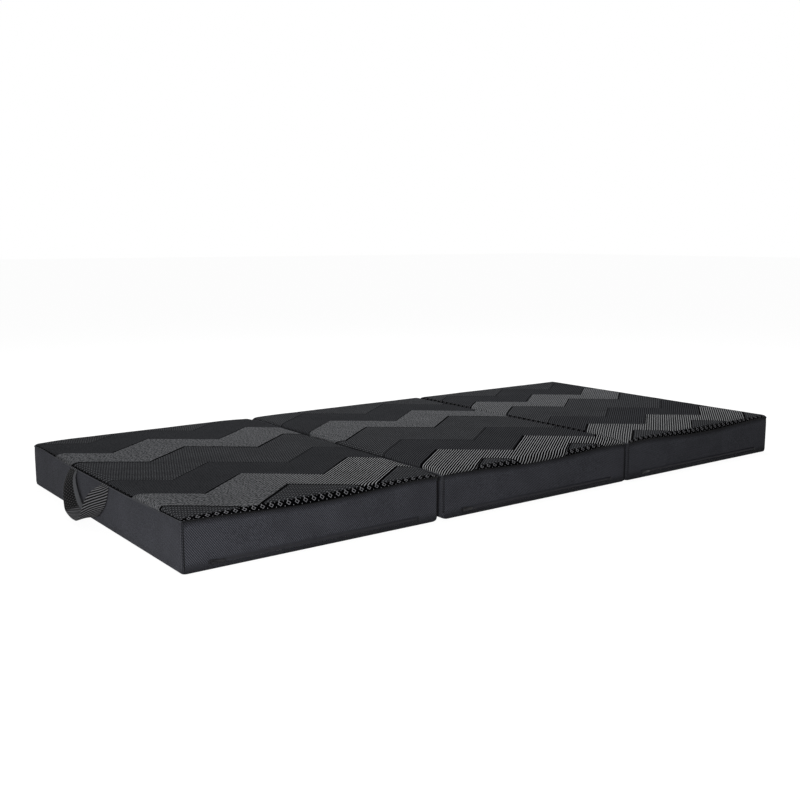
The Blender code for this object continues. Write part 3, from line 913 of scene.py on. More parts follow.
@dataclass(frozen=True)
class Slab:
    """One panel's outline and the lines its cover follows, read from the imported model."""

    number: int
    low: float
    high: float
    half_width: float
    low_foot: float
    high_foot: float
    side_foot: float = 5.0 * MM
    radius: float = 8.0 * MM
    tray_top: float = 16.0 * MM
    seam: float = 106.6 * MM
    crown: float = 115.0 * MM
    side_bow: float = 9.0 * MM
    end_bow: Pair = (4.0 * MM, 4.0 * MM)
    bow_reach: float = 0.30
    dips: tuple[Triple, ...] = ()
    bulge: Triple = (2.0 * MM, 2.0 * MM, 2.5 * MM)
    end_trims: Pair = (9.0 * MM, 9.0 * MM)
    arc_steps: int = 8
    step: float = 12.0 * MM
    dip_reach: float = 0.048
    zip_clear: float = 55.0 * MM
    slot_half: float = 6.0 * MM

    def ring(self, insets: Triple = (0, 0, 0), heights: Triple = (0, 0, 0)) -> np.ndarray:
        """Return the outline, anticlockwise from the high end's far corner.

        Args:
            insets: How far the low end, the high end and the sides are drawn in.
            heights: The height at each of those three; the corners pass between them.

        Returns:
            Points round the outline, the same number whatever the insets.
        """
        rows = []
        sides = max(2, round((self.high - self.low) / self.step))
        ends = max(2, round(2 * self.half_width / self.step))
        turns = np.linspace(0, 1, self.arc_steps + 1)
        edge_x = {-1: self.low + insets[0], 1: self.high - insets[1]}
        end_height = {-1: heights[0], 1: heights[1]}
        edge_y = self.half_width - insets[2]
        for sign_x, sign_y in ((1, 1), (-1, 1), (-1, -1), (1, -1)):
            before_side = sign_x == sign_y
            for turn in turns if before_side else turns[::-1]:
                angle = turn * math.pi / 2
                rows.append((edge_x[sign_x] - sign_x * self.radius * (1 - math.cos(angle)),
                             sign_y * edge_y - sign_y * self.radius * (1 - math.sin(angle)),
                             end_height[sign_x] * (1 - turn) + heights[2] * turn))
            start = rows[-1]
            if before_side:
                stop = (edge_x[-sign_x] + sign_x * self.radius, start[1], heights[2])
                shares = self.split_at_zip(np.linspace(0, 1, sides + 1)[1:-1])
            else:
                stop = (start[0], -sign_y * edge_y + sign_y * self.radius, end_height[sign_x])
                shares = np.linspace(0, 1, ends + 1)[1:-1]
            rows += [tuple(a + (b - a) * share for a, b in zip(start, stop)) for share in shares]
        return np.array(rows)

    def split_at_zip(self, shares: np.ndarray) -> np.ndarray:
        """Return a long side's shares with two of them drawn close to each end of the zip.

        Args:
            shares: Shares of the side's length.

        Returns:
            The changed shares.
        """
        length = self.high - self.low - 2 * self.radius
        near = (self.zip_run[0] - self.low - self.radius) / length
        for mark in (near, 1 - near):
            first, second = sorted(np.argsort(np.abs(shares - mark))[:2])
            shares[first], shares[second] = mark - 0.3 * MM / length, mark + 0.3 * MM / length
        return shares

    def round_length(self) -> tuple[np.ndarray, float]:
        """Return how far each outline point is round the panel, and the whole way round.

        Returns:
            A distance for each point, and the whole way.
        """
        ring = self.ring()
        steps = np.linalg.norm(np.roll(ring, -1, axis=0) - ring, axis=1)
        return np.concatenate([[0.0], np.cumsum(steps)[:-1]]), float(steps.sum())

    def outward(self, x: np.ndarray, y: np.ndarray) -> np.ndarray:
        """Return the outline's outward directions at points on it.

        Args:
            x: Places along the mattress.
            y: Places across it.

        Returns:
            A unit direction for each point.
        """
        core_x = np.clip(x, self.low + self.radius, self.high - self.radius)
        core_y = np.clip(y, self.radius - self.half_width, self.half_width - self.radius)
        away = np.stack([x - core_x, y - core_y], axis=1)
        return away / np.maximum(np.linalg.norm(away, axis=1, keepdims=True), 1e-9)

    def bow(self, x: np.ndarray, y: np.ndarray, low: float, high: float, side: float) -> np.ndarray:
        """Return an amount that grows from nothing at the corners to full along each wall.

        Args:
            x: The points' places along the mattress.
            y: Their places across it.
            low: The full amount on the low end.
            high: The full amount on the high end.
            side: The full amount on both sides.

        Returns:
            The amount at each point.
        """
        to_low, to_high = x - self.low, self.high - x
        to_end, to_side = np.minimum(to_low, to_high), self.half_width - np.abs(y)
        on_side = to_side < to_end
        full_end = np.where(to_low < to_high, low, high)
        return np.where(on_side, side * smooth(to_end / self.bow_reach),
                        full_end * smooth(to_side / self.bow_reach))

    def dip(self, x: np.ndarray, y: np.ndarray) -> np.ndarray:
        """Return how far a corner's softness lets the cover sink.

        Args:
            x: Places along the mattress.
            y: Places across it.

        Returns:
            A depth for each point.
        """
        total = np.zeros_like(x)
        for sign_x, sign_y, depth in self.dips:
            corner_x = self.high if sign_x > 0 else self.low
            away = np.hypot(x - corner_x, y - sign_y * self.half_width)
            total += depth * np.exp(-(away / self.dip_reach) ** 2)
        return total

    def seam_height(self, x: np.ndarray, y: np.ndarray) -> np.ndarray:
        """Return the height of the top seam at points on the outline."""
        drop = self.bow(x, y, self.end_bow[0], self.end_bow[1], self.side_bow)
        return self.seam - drop - 0.8 * self.dip(x, y)

    def swell(self, x: np.ndarray, y: np.ndarray) -> np.ndarray:
        """Return how far the foam pushes the wall out."""
        return self.bow(x, y, *self.bulge)

    def wall_ring(self, away: float | np.ndarray, height: float | np.ndarray) -> np.ndarray:
        """Return the outline pushed outwards by a distance, at its own height all round.

        Args:
            away: How far outwards, for each point or all.
            height: A height for each point.

        Returns:
            Points round the outline.
        """
        ring = self.ring()
        x, y = ring[:, 0], ring[:, 1]
        out = self.outward(x, y)
        return np.stack([x + out[:, 0] * away, y + out[:, 1] * away, height], axis=1)

    @property
    def zip_run(self) -> Pair:
        """Return where the zip's slot starts and ends."""
        return self.low + self.zip_clear, self.high - self.zip_clear


@dataclass
class KnitTop:
    """The knitted top of a panel: a crowned pad whose edge rolls over to the seam."""

    slab: Slab
    finish: JacquardKnit
    border: float = 26 * MM
    roll: float = 15 * MM
    edge_inset: float = 0.6 * MM
    roll_steps: int = 9
    cell: float = 10 * MM
    crown_rise: float = 1.5 * MM
    pucker: float = 0.35 * MM
    pressure: float = 0.04
    frames: int = 16
    most_move: float = 0.9 * MM
    climb: float = 13 * MM
    waves: Pair = (0.16, 0.06)
    flatness: Pair = (3.2, 4.5)

    def profile(self) -> tuple[np.ndarray, np.ndarray, np.ndarray]:
        """Return the insets, rises and cloth lengths of the stations from the seam inwards.

        Returns:
            Insets from the border's edge, rises from 0 to 1, and lengths.
        """
        turns = np.linspace(0, math.pi / 2, self.roll_steps + 1)
        insets = self.roll * (1 - np.cos(turns))
        rises = np.sin(turns)
        flat = np.array([0.5, 1.0])
        insets = np.concatenate([insets, self.roll + (self.border - self.roll) * flat])
        rises = np.concatenate([rises, [1.0, 1.0]])
        steps = np.hypot(np.diff(insets), np.diff(rises) * self.climb)
        return insets, rises, np.concatenate([[0.0], np.cumsum(steps)])

    def corner_path(self, share: np.ndarray) -> tuple[np.ndarray, np.ndarray, float]:
        """Return a unit corner's rounded path at shares of its length, and that length.

        Args:
            share: Shares of the path from 0 to 1.

        Returns:
            Places along and across in borders, and the length in metres.
        """
        curve = self.slab.radius / self.border
        straight = 1 - curve
        arc = curve * math.pi / 2
        total = 2 * straight + arc
        way = share * total
        angle = np.clip((way - straight) / curve, 0, math.pi / 2)
        path_x = np.where(way < straight + arc, straight + curve * np.cos(angle), total - way)
        path_y = np.where(way < straight, way, straight + curve * np.sin(angle))
        return path_x, path_y, total * self.border

    def axis(self, low: float, high: float, count: int) -> tuple[np.ndarray, np.ndarray]:
        """Return the inner places and border levels of the lines across one direction.

        Args:
            low: The panel's low edge.
            high: Its high edge.
            count: The number of cells between the borders.

        Returns:
            A place and a level, from -1 through 0 to 1, for each line.
        """
        steps = self.roll_steps + 2
        inner = np.linspace(low + self.border, high - self.border, count + 1)
        fringe = np.arange(1, steps + 1) / steps
        places = np.concatenate([np.full(steps, inner[0]), inner, np.full(steps, inner[-1])])
        levels = np.concatenate([-fringe[::-1], np.zeros(count + 1), fringe])
        return places, levels

    def top_height(self, x: np.ndarray, y: np.ndarray) -> np.ndarray:
        """Return the crown's height over the panel, with its slight puckers.

        Args:
            x: Places along the mattress.
            y: Places across it.

        Returns:
            A height for each point.
        """
        slab = self.slab
        middle, half = (slab.low + slab.high) / 2, (slab.high - slab.low) / 2
        fall = (np.abs((x - middle) / half) ** self.flatness[0]
                + np.abs(y / slab.half_width) ** self.flatness[1])
        base = slab.crown - self.crown_rise * np.clip(fall, 0, 1)
        uneven = (wander(x, y, self.waves[0], 10 + slab.number)
                  + 0.5 * wander(x, y, self.waves[1], 20 + slab.number))
        return base + self.pucker * (uneven - 1.0) - slab.dip(x, y)

    def build(self) -> Object:
        """Build, pad and dress the knitted top.

        Returns:
            The finished piece.
        """
        slab = self.slab
        insets, rises, lengths = self.profile()
        steps = len(insets) - 1
        across = round((slab.high - slab.low - 2 * self.border) / self.cell)
        along = round((2 * slab.half_width - 2 * self.border) / self.cell)
        places_x, levels_x = self.axis(slab.low, slab.high, across)
        places_y, levels_y = self.axis(-slab.half_width, slab.half_width, along)
        base_x, base_y = np.meshgrid(places_x, places_y, indexing="ij")
        level_x, level_y = np.meshgrid(levels_x, levels_y, indexing="ij")
        shape = base_x.shape
        base_x, base_y = base_x.ravel(), base_y.ravel()
        level_x, level_y = level_x.ravel(), level_y.ravel()
        depth = np.maximum(np.abs(level_x), np.abs(level_y))
        station = np.rint(steps * (1 - depth)).astype(int)
        safe = np.maximum(depth, 1e-9)
        share = np.where(np.abs(level_x) >= np.abs(level_y), np.abs(level_y) / safe / 2,
                         1 - np.abs(level_x) / safe / 2)
        path_x, path_y, corner_length = self.corner_path(share)
        path_x, path_y = np.sign(level_x) * path_x, np.sign(level_y) * path_y
        outer_x, outer_y = base_x + self.border * path_x, base_y + self.border * path_y
        seam = slab.seam_height(outer_x, outer_y)
        swell = slab.swell(outer_x, outer_y)
        around = np.sin(np.clip((1 - rises[station]) * math.pi / 2, 0, math.pi / 2))
        belly = np.where(depth > 0, swell * around, 0) - self.edge_inset * (depth > 0)
        reach = self.border - insets[station] + belly
        x, y = base_x + reach * path_x, base_y + reach * path_y
        z = seam + (self.top_height(x, y) - seam) * rises[station]
        unrolled = lengths[-1] - lengths[station]
        fabric = np.stack([base_x + unrolled * path_x, base_y + unrolled * path_y], axis=1)
        edge = np.stack([self.round_place(base_x, base_y, level_x, level_y, share, corner_length),
                         lengths[station]], axis=1)
        on_side = np.clip(0.5 + 4 * (np.abs(level_y) - np.abs(level_x)), 0, 1)
        ends = np.where(level_x < 0, slab.end_trims[0], slab.end_trims[1])
        side = np.stack([on_side, ends], axis=1)
        points = np.stack([x, y, z], axis=1)
        faces = grid_faces(shape)
        straight = slab.high - slab.low + 2 * slab.half_width - 4 * self.border
        girth = 4 * corner_length + 2 * straight
        piece = mesh_piece(f"knit_pad_{slab.number}", points, faces,
                           {"Fabric": fabric, "Edge": edge, "Side": side})
        mend_round(piece, "Edge", girth)
        self.fill_out(piece, depth > 0.999)
        self.close_seam(piece)
        return settle(piece, self.finish, f"panel_{slab.number}",
                      (f"knit_top_{slab.number}",))

    def round_place(self, base_x: np.ndarray, base_y: np.ndarray, level_x: np.ndarray,
                    level_y: np.ndarray, share: np.ndarray, corner: float) -> np.ndarray:
        """Return how far round the seam each border point is, anticlockwise from the far corner.

        Args:
            base_x: The points' inner places along the mattress.
            base_y: Their inner places across it.
            level_x: Their border levels along it.
            level_y: Their border levels across it.
            share: Their shares of a corner's path.
            corner: That path's length.

        Returns:
            A distance for each point.
        """
        slab = self.slab
        low_x, high_x = slab.low + self.border, slab.high - self.border
        low_y, high_y = self.border - slab.half_width, slab.half_width - self.border
        long, wide = high_x - low_x, high_y - low_y
        place = np.zeros_like(base_x)
        right, left, up, down = level_x > 0, level_x < 0, level_y > 0, level_y < 0
        flat_x, flat_y = level_x == 0, level_y == 0
        rules = (
            (right & up, share * corner),
            (flat_x & up, corner + high_x - base_x),
            (left & up, corner + long + (1 - share) * corner),
            (left & flat_y, 2 * corner + long + high_y - base_y),
            (left & down, 2 * corner + long + wide + share * corner),
            (flat_x & down, 3 * corner + long + wide + base_x - low_x),
            (right & down, 3 * corner + 2 * long + wide + (1 - share) * corner),
            (right & flat_y, 4 * corner + 2 * long + wide + base_y - low_y),
        )
        for chosen, value in rules:
            place = np.where(chosen, value, place)
        return place

    def fill_out(self, piece: Object, at_seam: np.ndarray) -> None:
        """Let the foam press the knit out for a few frames of cloth, held fast at the seam.

        Args:
            piece: The open pad, before its underside is closed.
            at_seam: Which of its points are sewn.
        """
        held = piece.vertex_groups.new(name="seam")
        held.add(np.flatnonzero(at_seam).tolist(), 1.0, "REPLACE")
        start = np.zeros(3 * len(piece.data.vertices))
        piece.data.vertices.foreach_get("co", start)
        start = start.reshape(-1, 3)
        cloth = piece.modifiers.new("cloth", "CLOTH")
        cloth.settings.vertex_group_mass = "seam"
        cloth.settings.quality = 5
        cloth.settings.use_pressure = True
        cloth.settings.uniform_pressure_force = self.pressure
        cloth.settings.effector_weights.gravity = 0.0
        cloth.collision_settings.use_collision = False
        cloth.point_cache.frame_start, cloth.point_cache.frame_end = 1, self.frames
        for number in range(1, self.frames + 1):
            bpy.context.scene.frame_set(number)
        shaped = piece.evaluated_get(bpy.context.evaluated_depsgraph_get()).data
        ended = np.zeros(3 * len(shaped.vertices))
        shaped.vertices.foreach_get("co", ended)
        moved = ended.reshape(-1, 3) - start
        far = np.linalg.norm(moved, axis=1, keepdims=True)
        LOG.info("%s: cloth moved up to %.1f mm", piece.name, far.max() / MM)
        moved *= np.minimum(1.0, self.most_move / np.maximum(far, 1e-9))
        piece.modifiers.remove(cloth)
        piece.vertex_groups.remove(held)
        piece.data.vertices.foreach_set("co", (start + moved).ravel())
        piece.data.update()
        bpy.context.scene.frame_set(1)

    def close_seam(self, piece: Object) -> None:
        """Round the pad by one subdivision, then close its underside.

        Args:
            piece: The pad, open underneath.
        """
        rounding = piece.modifiers.new("rounding", "SUBSURF")
        rounding.levels = rounding.render_levels = 1
        apply_modifiers(piece)
        shape = bmesh.new()
        shape.from_mesh(piece.data)
        rim = [edge for edge in shape.edges if edge.is_boundary]
        middle = shape.verts.new(((self.slab.low + self.slab.high) / 2, 0, self.slab.seam - 4 * MM))
        for edge in rim:
            loop = edge.link_loops[0]
            shape.faces.new((loop.link_loop_next.vert, loop.vert, middle)).smooth = True
        layer = shape.loops.layers.uv["Edge"]
        for face in middle.link_faces:
            for loop in face.loops:
                loop[layer].uv = (0, 1)
        shape.to_mesh(piece.data)
        shape.free()


@dataclass
class SideBand:
    """The twill wall between the base and the top seam, with the zip's slot in its foot."""

    slab: Slab
    finish: TwillCloth
    wall: float = 2.0 * MM
    levels: int = 14
    seam_pull: float = 1.5 * MM
    below_seam: float = 2.9 * MM
    ripple: float = 0.25 * MM
    ripple_wave: float = 0.10
    above_tray: float = 0.05 * MM

    def build(self) -> Object:
        """Build and dress the band.

        Returns:
            The finished piece.
        """
        slab = self.slab
        base = slab.ring()
        x, y = base[:, 0], base[:, 1]
        swell = slab.swell(x, y)
        foot = slot_edge(slab, x, y, slab.tray_top + self.above_tray, slab.slot_half)
        top = slab.seam_height(x, y) - self.below_seam
        around, girth = slab.round_length()
        rings = []
        for share in np.linspace(0, 1, self.levels + 1):
            height = foot + (top - foot) * share
            belly = swell * math.sin(math.pi * share ** 0.8) ** 0.8 * 0.9 + 0.4 * swell * share
            pull = self.seam_pull * drawn_in(share)
            ripple = self.ripple * wander(around, height, self.ripple_wave, 30 + slab.number)
            away = belly - pull + ripple * math.sin(math.pi * share)
            rings.append(slab.wall_ring(away, height))
        rings += [slab.wall_ring(-self.wall, height) for height in (top, foot)]
        points, faces, flat = loft(np.array(rings), True, around)
        # How far below the seam and from the nearest corner each point lies, which sets the twill's
        # painted shade
        reach = np.minimum(np.minimum(x - slab.low, slab.high - x), 1.0)
        corner = np.maximum(reach, slab.half_width - np.abs(y))
        shade_reach = np.stack([np.tile(top, len(rings)) - points[:, 2], np.tile(corner, len(rings))],
                       axis=1)
        piece = mesh_piece(f"twill_band_{slab.number}", points, faces, {"Fabric": flat, "Hem": shade_reach})
        mend_round(piece, "Fabric", girth)
        keep_edges(piece, 50)
        return settle(piece, self.finish, f"panel_{slab.number}",
                      (f"side_band_{slab.number}",))


def slot_edge(slab: Slab, x: np.ndarray, y: np.ndarray, height: float, change: float) -> np.ndarray:
    """Return an edge's height round a panel, moved where the zip's slot is.

    Args:
        slab: The panel.
        x: Places of the outline's points along the mattress.
        y: Places of them across it.
        height: The edge's usual height.
        change: How far the slot moves it.

    Returns:
        A height for each point.
    """
    start, end = slab.zip_run
    in_slot = (y < -slab.half_width + MM) & (x > start) & (x < end)
    return height + change * in_slot


@dataclass
class BaseTray:
    """The woven underside, turned up round the foot of the panel."""

    slab: Slab
    finish: TwillCloth
    wall: float = 2.0 * MM
    round_steps: int = 6

    def foot(self, inset: float) -> list[np.ndarray]:
        """Return the rings of the rounded foot, inset all round.

        Args:
            inset: How far inside the outline.

        Returns:
            The rings from the floor up.
        """
        slab = self.slab
        rings = []
        for turn in np.linspace(0, math.pi / 2, self.round_steps + 1):
            radii = [max(r - inset, 0.5 * MM)
                     for r in (slab.low_foot, slab.high_foot, slab.side_foot)]
            insets = tuple(inset + r * (1 - math.sin(turn)) for r in radii)
            heights = tuple(inset + r * (1 - math.cos(turn)) for r in radii)
            rings.append(slab.ring(insets, heights))
        return rings

    def build(self) -> Object:
        """Build and dress the tray.

        Returns:
            The finished piece.
        """
        slab = self.slab
        outer = slab.ring()
        top = slot_edge(slab, outer[:, 0], outer[:, 1], slab.tray_top, -slab.slot_half)
        rings = self.foot(0.0) + [slab.wall_ring(0, top), slab.wall_ring(-self.wall, top)]
        rings += self.foot(self.wall)[::-1]
        around, girth = slab.round_length()
        points, faces, flat = loft(np.array(rings), False, around)
        flat[:, 1] += np.where(points[:, 2] < 6 * MM, points[:, 1], 0)
        # The tray's shade reach is all ones, so it takes no painted seam or corner shade; the
        # painted foot shade still falls on its long walls
        piece = mesh_piece(f"woven_base_{slab.number}", points, faces,
                           {"Fabric": flat, "Hem": np.ones_like(flat)})
        mend_round(piece, "Fabric", girth)
        keep_edges(piece, 50)
        return settle(piece, self.finish, f"panel_{slab.number}",
                      (f"base_tray_{slab.number}",))


@dataclass
class Piping:
    """The corded piping at the top seam and the twin cords up each corner."""

    slab: Slab
    finish: PlainWeave
    radius: float = 1.6 * MM
    inset: float = 0.2 * MM
    cord_radius: float = 1.1 * MM
    cord_turns: Pair = (math.radians(28), math.radians(64))
    cord_pull: float = 1.0 * MM
    sides: int = 10
    below_seam: float = 1.3 * MM
    cord_sides: int = 8
    cord_levels: int = 9
    cord_girth: float = 7 * MM
    # Where the foot is hardly rounded, its cords run down over this much of the tray
    cord_drop: float = 8 * MM
    hardly_round: float = 10 * MM

    def build(self) -> Object:
        """Build and dress the piping and the corner cords as one piece.

        Returns:
            The finished piece.
        """
        slab = self.slab
        base = slab.ring()
        x, y = base[:, 0], base[:, 1]
        height = slab.seam_height(x, y) - self.below_seam
        away = 0.55 * slab.swell(x, y) - self.inset
        around, _ = slab.round_length()
        rings = [slab.wall_ring(away + self.radius * math.cos(turn),
                                height + self.radius * math.sin(turn))
                 for turn in np.linspace(0, 2 * math.pi, self.sides, endpoint=False)]
        points, faces, flat = loft(np.array(rings), True, around)
        groups = [(points, faces, flat)]
        for sign_x in (-1, 1):
            for sign_y in (-1, 1):
                groups += [self.cord(sign_x, sign_y, turn) for turn in self.cord_turns]
        count, all_points, all_faces, all_flat = 0, [], [], []
        for part, part_faces, part_flat in groups:
            all_points.append(part)
            all_flat.append(part_flat)
            all_faces += [tuple(i + count for i in face) for face in part_faces]
            count += len(part)
        piece = mesh_piece(f"piping_{slab.number}", np.vstack(all_points), all_faces,
                           {"Fabric": np.vstack(all_flat)})
        return settle(piece, self.finish, f"panel_{slab.number}", (f"welt_{slab.number}",))

    def cord(self, sign_x: int, sign_y: int, turn: float) -> tuple[np.ndarray, list, np.ndarray]:
        """Return the points, faces and cloth map of one cord up a corner.

        Args:
            sign_x: 1 for the high end, -1 for the low one.
            sign_y: 1 for the far side, -1 for the front.
            turn: Where on the rounded corner.

        Returns:
            Points, faces and UV rows.
        """
        slab = self.slab
        reach = slab.radius - 0.2 * MM
        edge_x = slab.high if sign_x > 0 else slab.low
        middle_x = edge_x - sign_x * slab.radius + sign_x * reach * math.cos(turn)
        middle_y = sign_y * (slab.half_width - slab.radius + reach * math.sin(turn))
        top = float(slab.seam_height(np.array([middle_x]), np.array([middle_y]))[0])
        rounding = slab.low_foot if sign_x < 0 else slab.high_foot
        foot = slab.tray_top - (self.cord_drop if rounding < self.hardly_round else 0)
        rings = []
        turns = np.linspace(0, 2 * math.pi, self.cord_sides, endpoint=False)
        for height in np.linspace(foot, top, self.cord_levels):
            pull = self.cord_pull * drawn_in(height / top)
            rings.append(np.stack(
                [middle_x - sign_x * pull * math.cos(turn) + self.cord_radius * np.cos(turns),
                 middle_y - sign_y * pull * math.sin(turn) + self.cord_radius * np.sin(turns),
                 np.full(self.cord_sides, height)], axis=1))
        return loft(np.array(rings), False, np.linspace(0, self.cord_girth, self.cord_sides))


@dataclass
class FoamPair:
    """The firm foam slab of a panel and the softer layer glued over it."""

    slab: Slab
    inset: float = 3.2 * MM
    joint: float = 71 * MM
    shoulder: tuple[Pair, ...] = (
        (0, 92 * MM), (2 * MM, 96 * MM), (14 * MM, 97 * MM), (40 * MM, 103 * MM))

    def build(self) -> list[Object]:
        """Build and dress both foams.

        Returns:
            The finished pieces.
        """
        slab = self.slab
        core = [slab.ring(tuple(self.inset + r * (1 - math.sin(t)) for r in self.feet()),
                          tuple(self.inset + r * (1 - math.cos(t)) for r in self.feet()))
                for t in np.linspace(0, math.pi / 2, 5)]
        top = self.joint - 0.3 * MM
        core += [self.level(0, top - 2 * MM), self.level(0.6 * MM, top - 0.6 * MM),
                 self.level(2 * MM, top)]
        topper = [self.level(2 * MM, self.joint), self.level(0, self.joint + 2 * MM)]
        topper += [self.level(more, height) for more, height in self.shoulder]
        made = []
        rows = (("foam_slab", core, FoamGrade.FIRM, "core_foam", "foam_core"),
                ("foam_layer", topper, FoamGrade.SOFT, "topper_foam", "foam_topper"))
        around, girth = slab.round_length()
        for name, rings, grade, slot, node in rows:
            points, faces, flat = loft(np.array(rings), False, around)
            piece = mesh_piece(f"{name}_{slab.number}", points, faces, {"Fabric": flat})
            mend_round(piece, "Fabric", girth)
            made.append(settle(piece, CellFoam(grade), f"panel_{slab.number}",
                               (f"{node}_{slab.number}",)))
        return made

    def feet(self) -> Triple:
        """Return the foot's three rounding radii."""
        return self.slab.low_foot, self.slab.high_foot, self.slab.side_foot

    def level(self, more: float, height: float) -> np.ndarray:
        """Return one flat ring of foam, drawn in a little more than the foot."""
        return self.slab.ring((self.inset + more,) * 3, (height,) * 3)


@dataclass
class FrontZip:
    """A closed coil zip along the foot of the front: tape, coil, stops, slider and pull."""

    slab: Slab
    tape_finish: ZipNylon
    coil_finish: ZipNylon
    metal: LacqueredZinc
    pitch: float = 2.6 * MM
    tooth_wide: float = 1.5 * MM
    tooth_deep: float = 1.3 * MM

    def build(self) -> list[Object]:
        """Build and dress the whole zip.

        Returns:
            The finished pieces.
        """
        n = self.slab.number
        made = [self.tape(), self.coil()]
        metal = [(self.block, f"zip_stop_{end}_{n}", f"stop_{end}_{n}", 0.5 * MM, f"panel_{n}")
                 for end in ("start", "end")]
        metal += [(self.rounded, f"zip_slider_{n}", f"slider_{n}", 0.3 * MM, f"slider_{n}"),
                  (self.rounded, f"zip_pull_{n}", f"pull_tab_{n}", 0.25 * MM, f"pull_{n}")]
        for shaped, node, name, width, body in metal:
            made.append(settle(shaped(node, name, width), self.metal, body, (node,)))
        return made

    def tape(self) -> Object:
        """Build the woven tape behind the coil.

        Returns:
            The finished piece.
        """
        node = f"zip_tape_{self.slab.number}"
        piece = self.block(node, f"tape_{self.slab.number}", 0.3 * MM)
        return settle(piece, self.tape_finish, f"panel_{self.slab.number}", (node,))

    def block(self, node: str, name: str, width: float) -> Object:
        """Build a block in a CAD node's place, its edges rounded by a width.

        Args:
            node: The CAD node.
            name: The piece's name.
            width: The rounding's width.

        Returns:
            The new piece.
        """
        piece = cube_at(node, name)
        edit_all(bpy.ops.mesh.bevel, offset=width, segments=2)
        keep_edges(piece, 40)
        return piece

    def coil(self) -> Object:
        """Build one pair of coil turns and repeat it along the zip.

        Returns:
            The finished piece.
        """
        low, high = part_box(f"zip_coil_{self.slab.number}")
        half = (high.z - low.z) / 2
        middle = (high.z + low.z) / 2
        turns = []
        for side, shift in ((1, 0.0), (-1, 0.5)):
            deselect_all()
            bpy.ops.mesh.primitive_cylinder_add(
                vertices=8, radius=0.5, depth=1,
                location=(low.x + self.tooth_wide / 2 + shift * self.pitch,
                          low.y + self.tooth_deep / 2, middle + side * half * 0.42),
                scale=(self.tooth_wide, self.tooth_deep, half * 1.16))
            bpy.ops.object.transform_apply(location=True, rotation=True, scale=True)
            edit_all(bpy.ops.mesh.bevel, offset=0.25 * MM, segments=1)
            turns.append(bpy.context.active_object)
        deselect_all()
        for turn in turns:
            turn.select_set(True)
        bpy.context.view_layer.objects.active = turns[0]
        bpy.ops.object.join()
        piece = bpy.context.active_object
        piece.name = f"coil_{self.slab.number}"
        row = piece.modifiers.new("row", "ARRAY")
        row.use_relative_offset, row.use_constant_offset = False, True
        row.constant_offset_displace = (self.pitch, 0, 0)
        row.count = int((high.x - low.x - self.tooth_wide) / self.pitch)
        apply_modifiers(piece)
        keep_edges(piece, 40)
        return settle(piece, self.coil_finish, f"panel_{self.slab.number}",
                      (f"zip_coil_{self.slab.number}",))

    def rounded(self, node: str, name: str, width: float) -> Object:
        """Copy a metal CAD node as its own piece with rounded edges.

        Args:
            node: The CAD node.
            name: The piece's name.
            width: The rounding's width.

        Returns:
            The new piece.
        """
        mesh = frame["nodes"][node].data.copy()
        piece = stand(name, mesh)
        shape = bmesh.new()
        shape.from_mesh(mesh)
        bmesh.ops.remove_doubles(shape, verts=shape.verts, dist=0.01 * MM)
        bmesh.ops.dissolve_limit(shape, angle_limit=math.radians(2), verts=shape.verts,
                                 edges=shape.edges)
        shape.to_mesh(mesh)
        shape.free()
        make_active(piece)
        edge = piece.modifiers.new("edge", "BEVEL")
        edge.width, edge.segments, edge.limit_method = width, 2, "ANGLE"
        edge.angle_limit = math.radians(40)
        apply_modifiers(piece)
        keep_edges(piece, 35)
        return piece


@dataclass
class TopFold:
    """The knitted valley that joins the first two panels at their top seams."""

    left: Slab
    right: Slab
    finish: PlainWeave
    depth: float = 12 * MM
    thick: float = 1.2 * MM
    steps: int = 16
    lines: int = 75
    overlap: float = 0.3 * MM
    below_seam: float = 1.4 * MM

    def build(self) -> Object:
        """Build and dress the valley.

        Returns:
            The finished piece.
        """
        reach = self.left.half_width - self.left.radius
        places = np.linspace(-reach, reach, self.lines)
        start, end = self.left.high - self.overlap, self.right.low + self.overlap
        rows = []
        for y in places:
            line = []
            edge_left = self.left.seam_height(np.array([start]), np.array([y]))[0]
            edge_right = self.right.seam_height(np.array([end]), np.array([y]))[0]
            for share in np.linspace(0, 1, self.steps + 1):
                rest = edge_left * (1 - share) + edge_right * share - self.below_seam
                sink = self.depth * math.sin(math.pi * share) ** 0.8
                line.append((start + (end - start) * share, y, rest - sink))
            rows.append(line)
        piece = strip("valley_knit", rows, self.thick)
        return settle(piece, self.finish, ("panel_1", "panel_2", (start, 0, 0), (end, 0, 0)),
                      ("top_fold_left", "top_fold_right"))


@dataclass
class BottomFold:
    """The woven tape that joins the last two panels at the floor."""

    left: Slab
    right: Slab
    finish: PlainWeave
    thick: float = 1.0 * MM
    flange: float = 10 * MM
    lines: int = 45
    off_wall: float = 0.8 * MM
    foot: float = 0.9 * MM

    def build(self) -> Object:
        """Build and dress the tape.

        Returns:
            The finished piece.
        """
        reach = self.left.half_width - self.left.radius
        start, end = self.left.high + self.off_wall, self.right.low - self.off_wall
        foot = self.foot
        line = [(start, foot + self.flange), (start, foot + self.flange * 0.6),
                (start, foot + self.flange * 0.25), (start + self.off_wall, foot)]
        line += [(start + (end - start) * s, foot) for s in (0.35, 0.5, 0.65)]
        line += [(end - (x - start), z) for x, z in line[3::-1]]
        rows = [[(x, y, z) for x, z in line] for y in np.linspace(-reach, reach, self.lines)]
        piece = strip("hinge_tape", rows, self.thick)
        bend = ("panel_2", "panel_3", (start + MM, 0, 0), (end - MM, 0, 0))
        return settle(piece, self.finish, bend, ("bottom_fold_left", "bottom_fold_right"))


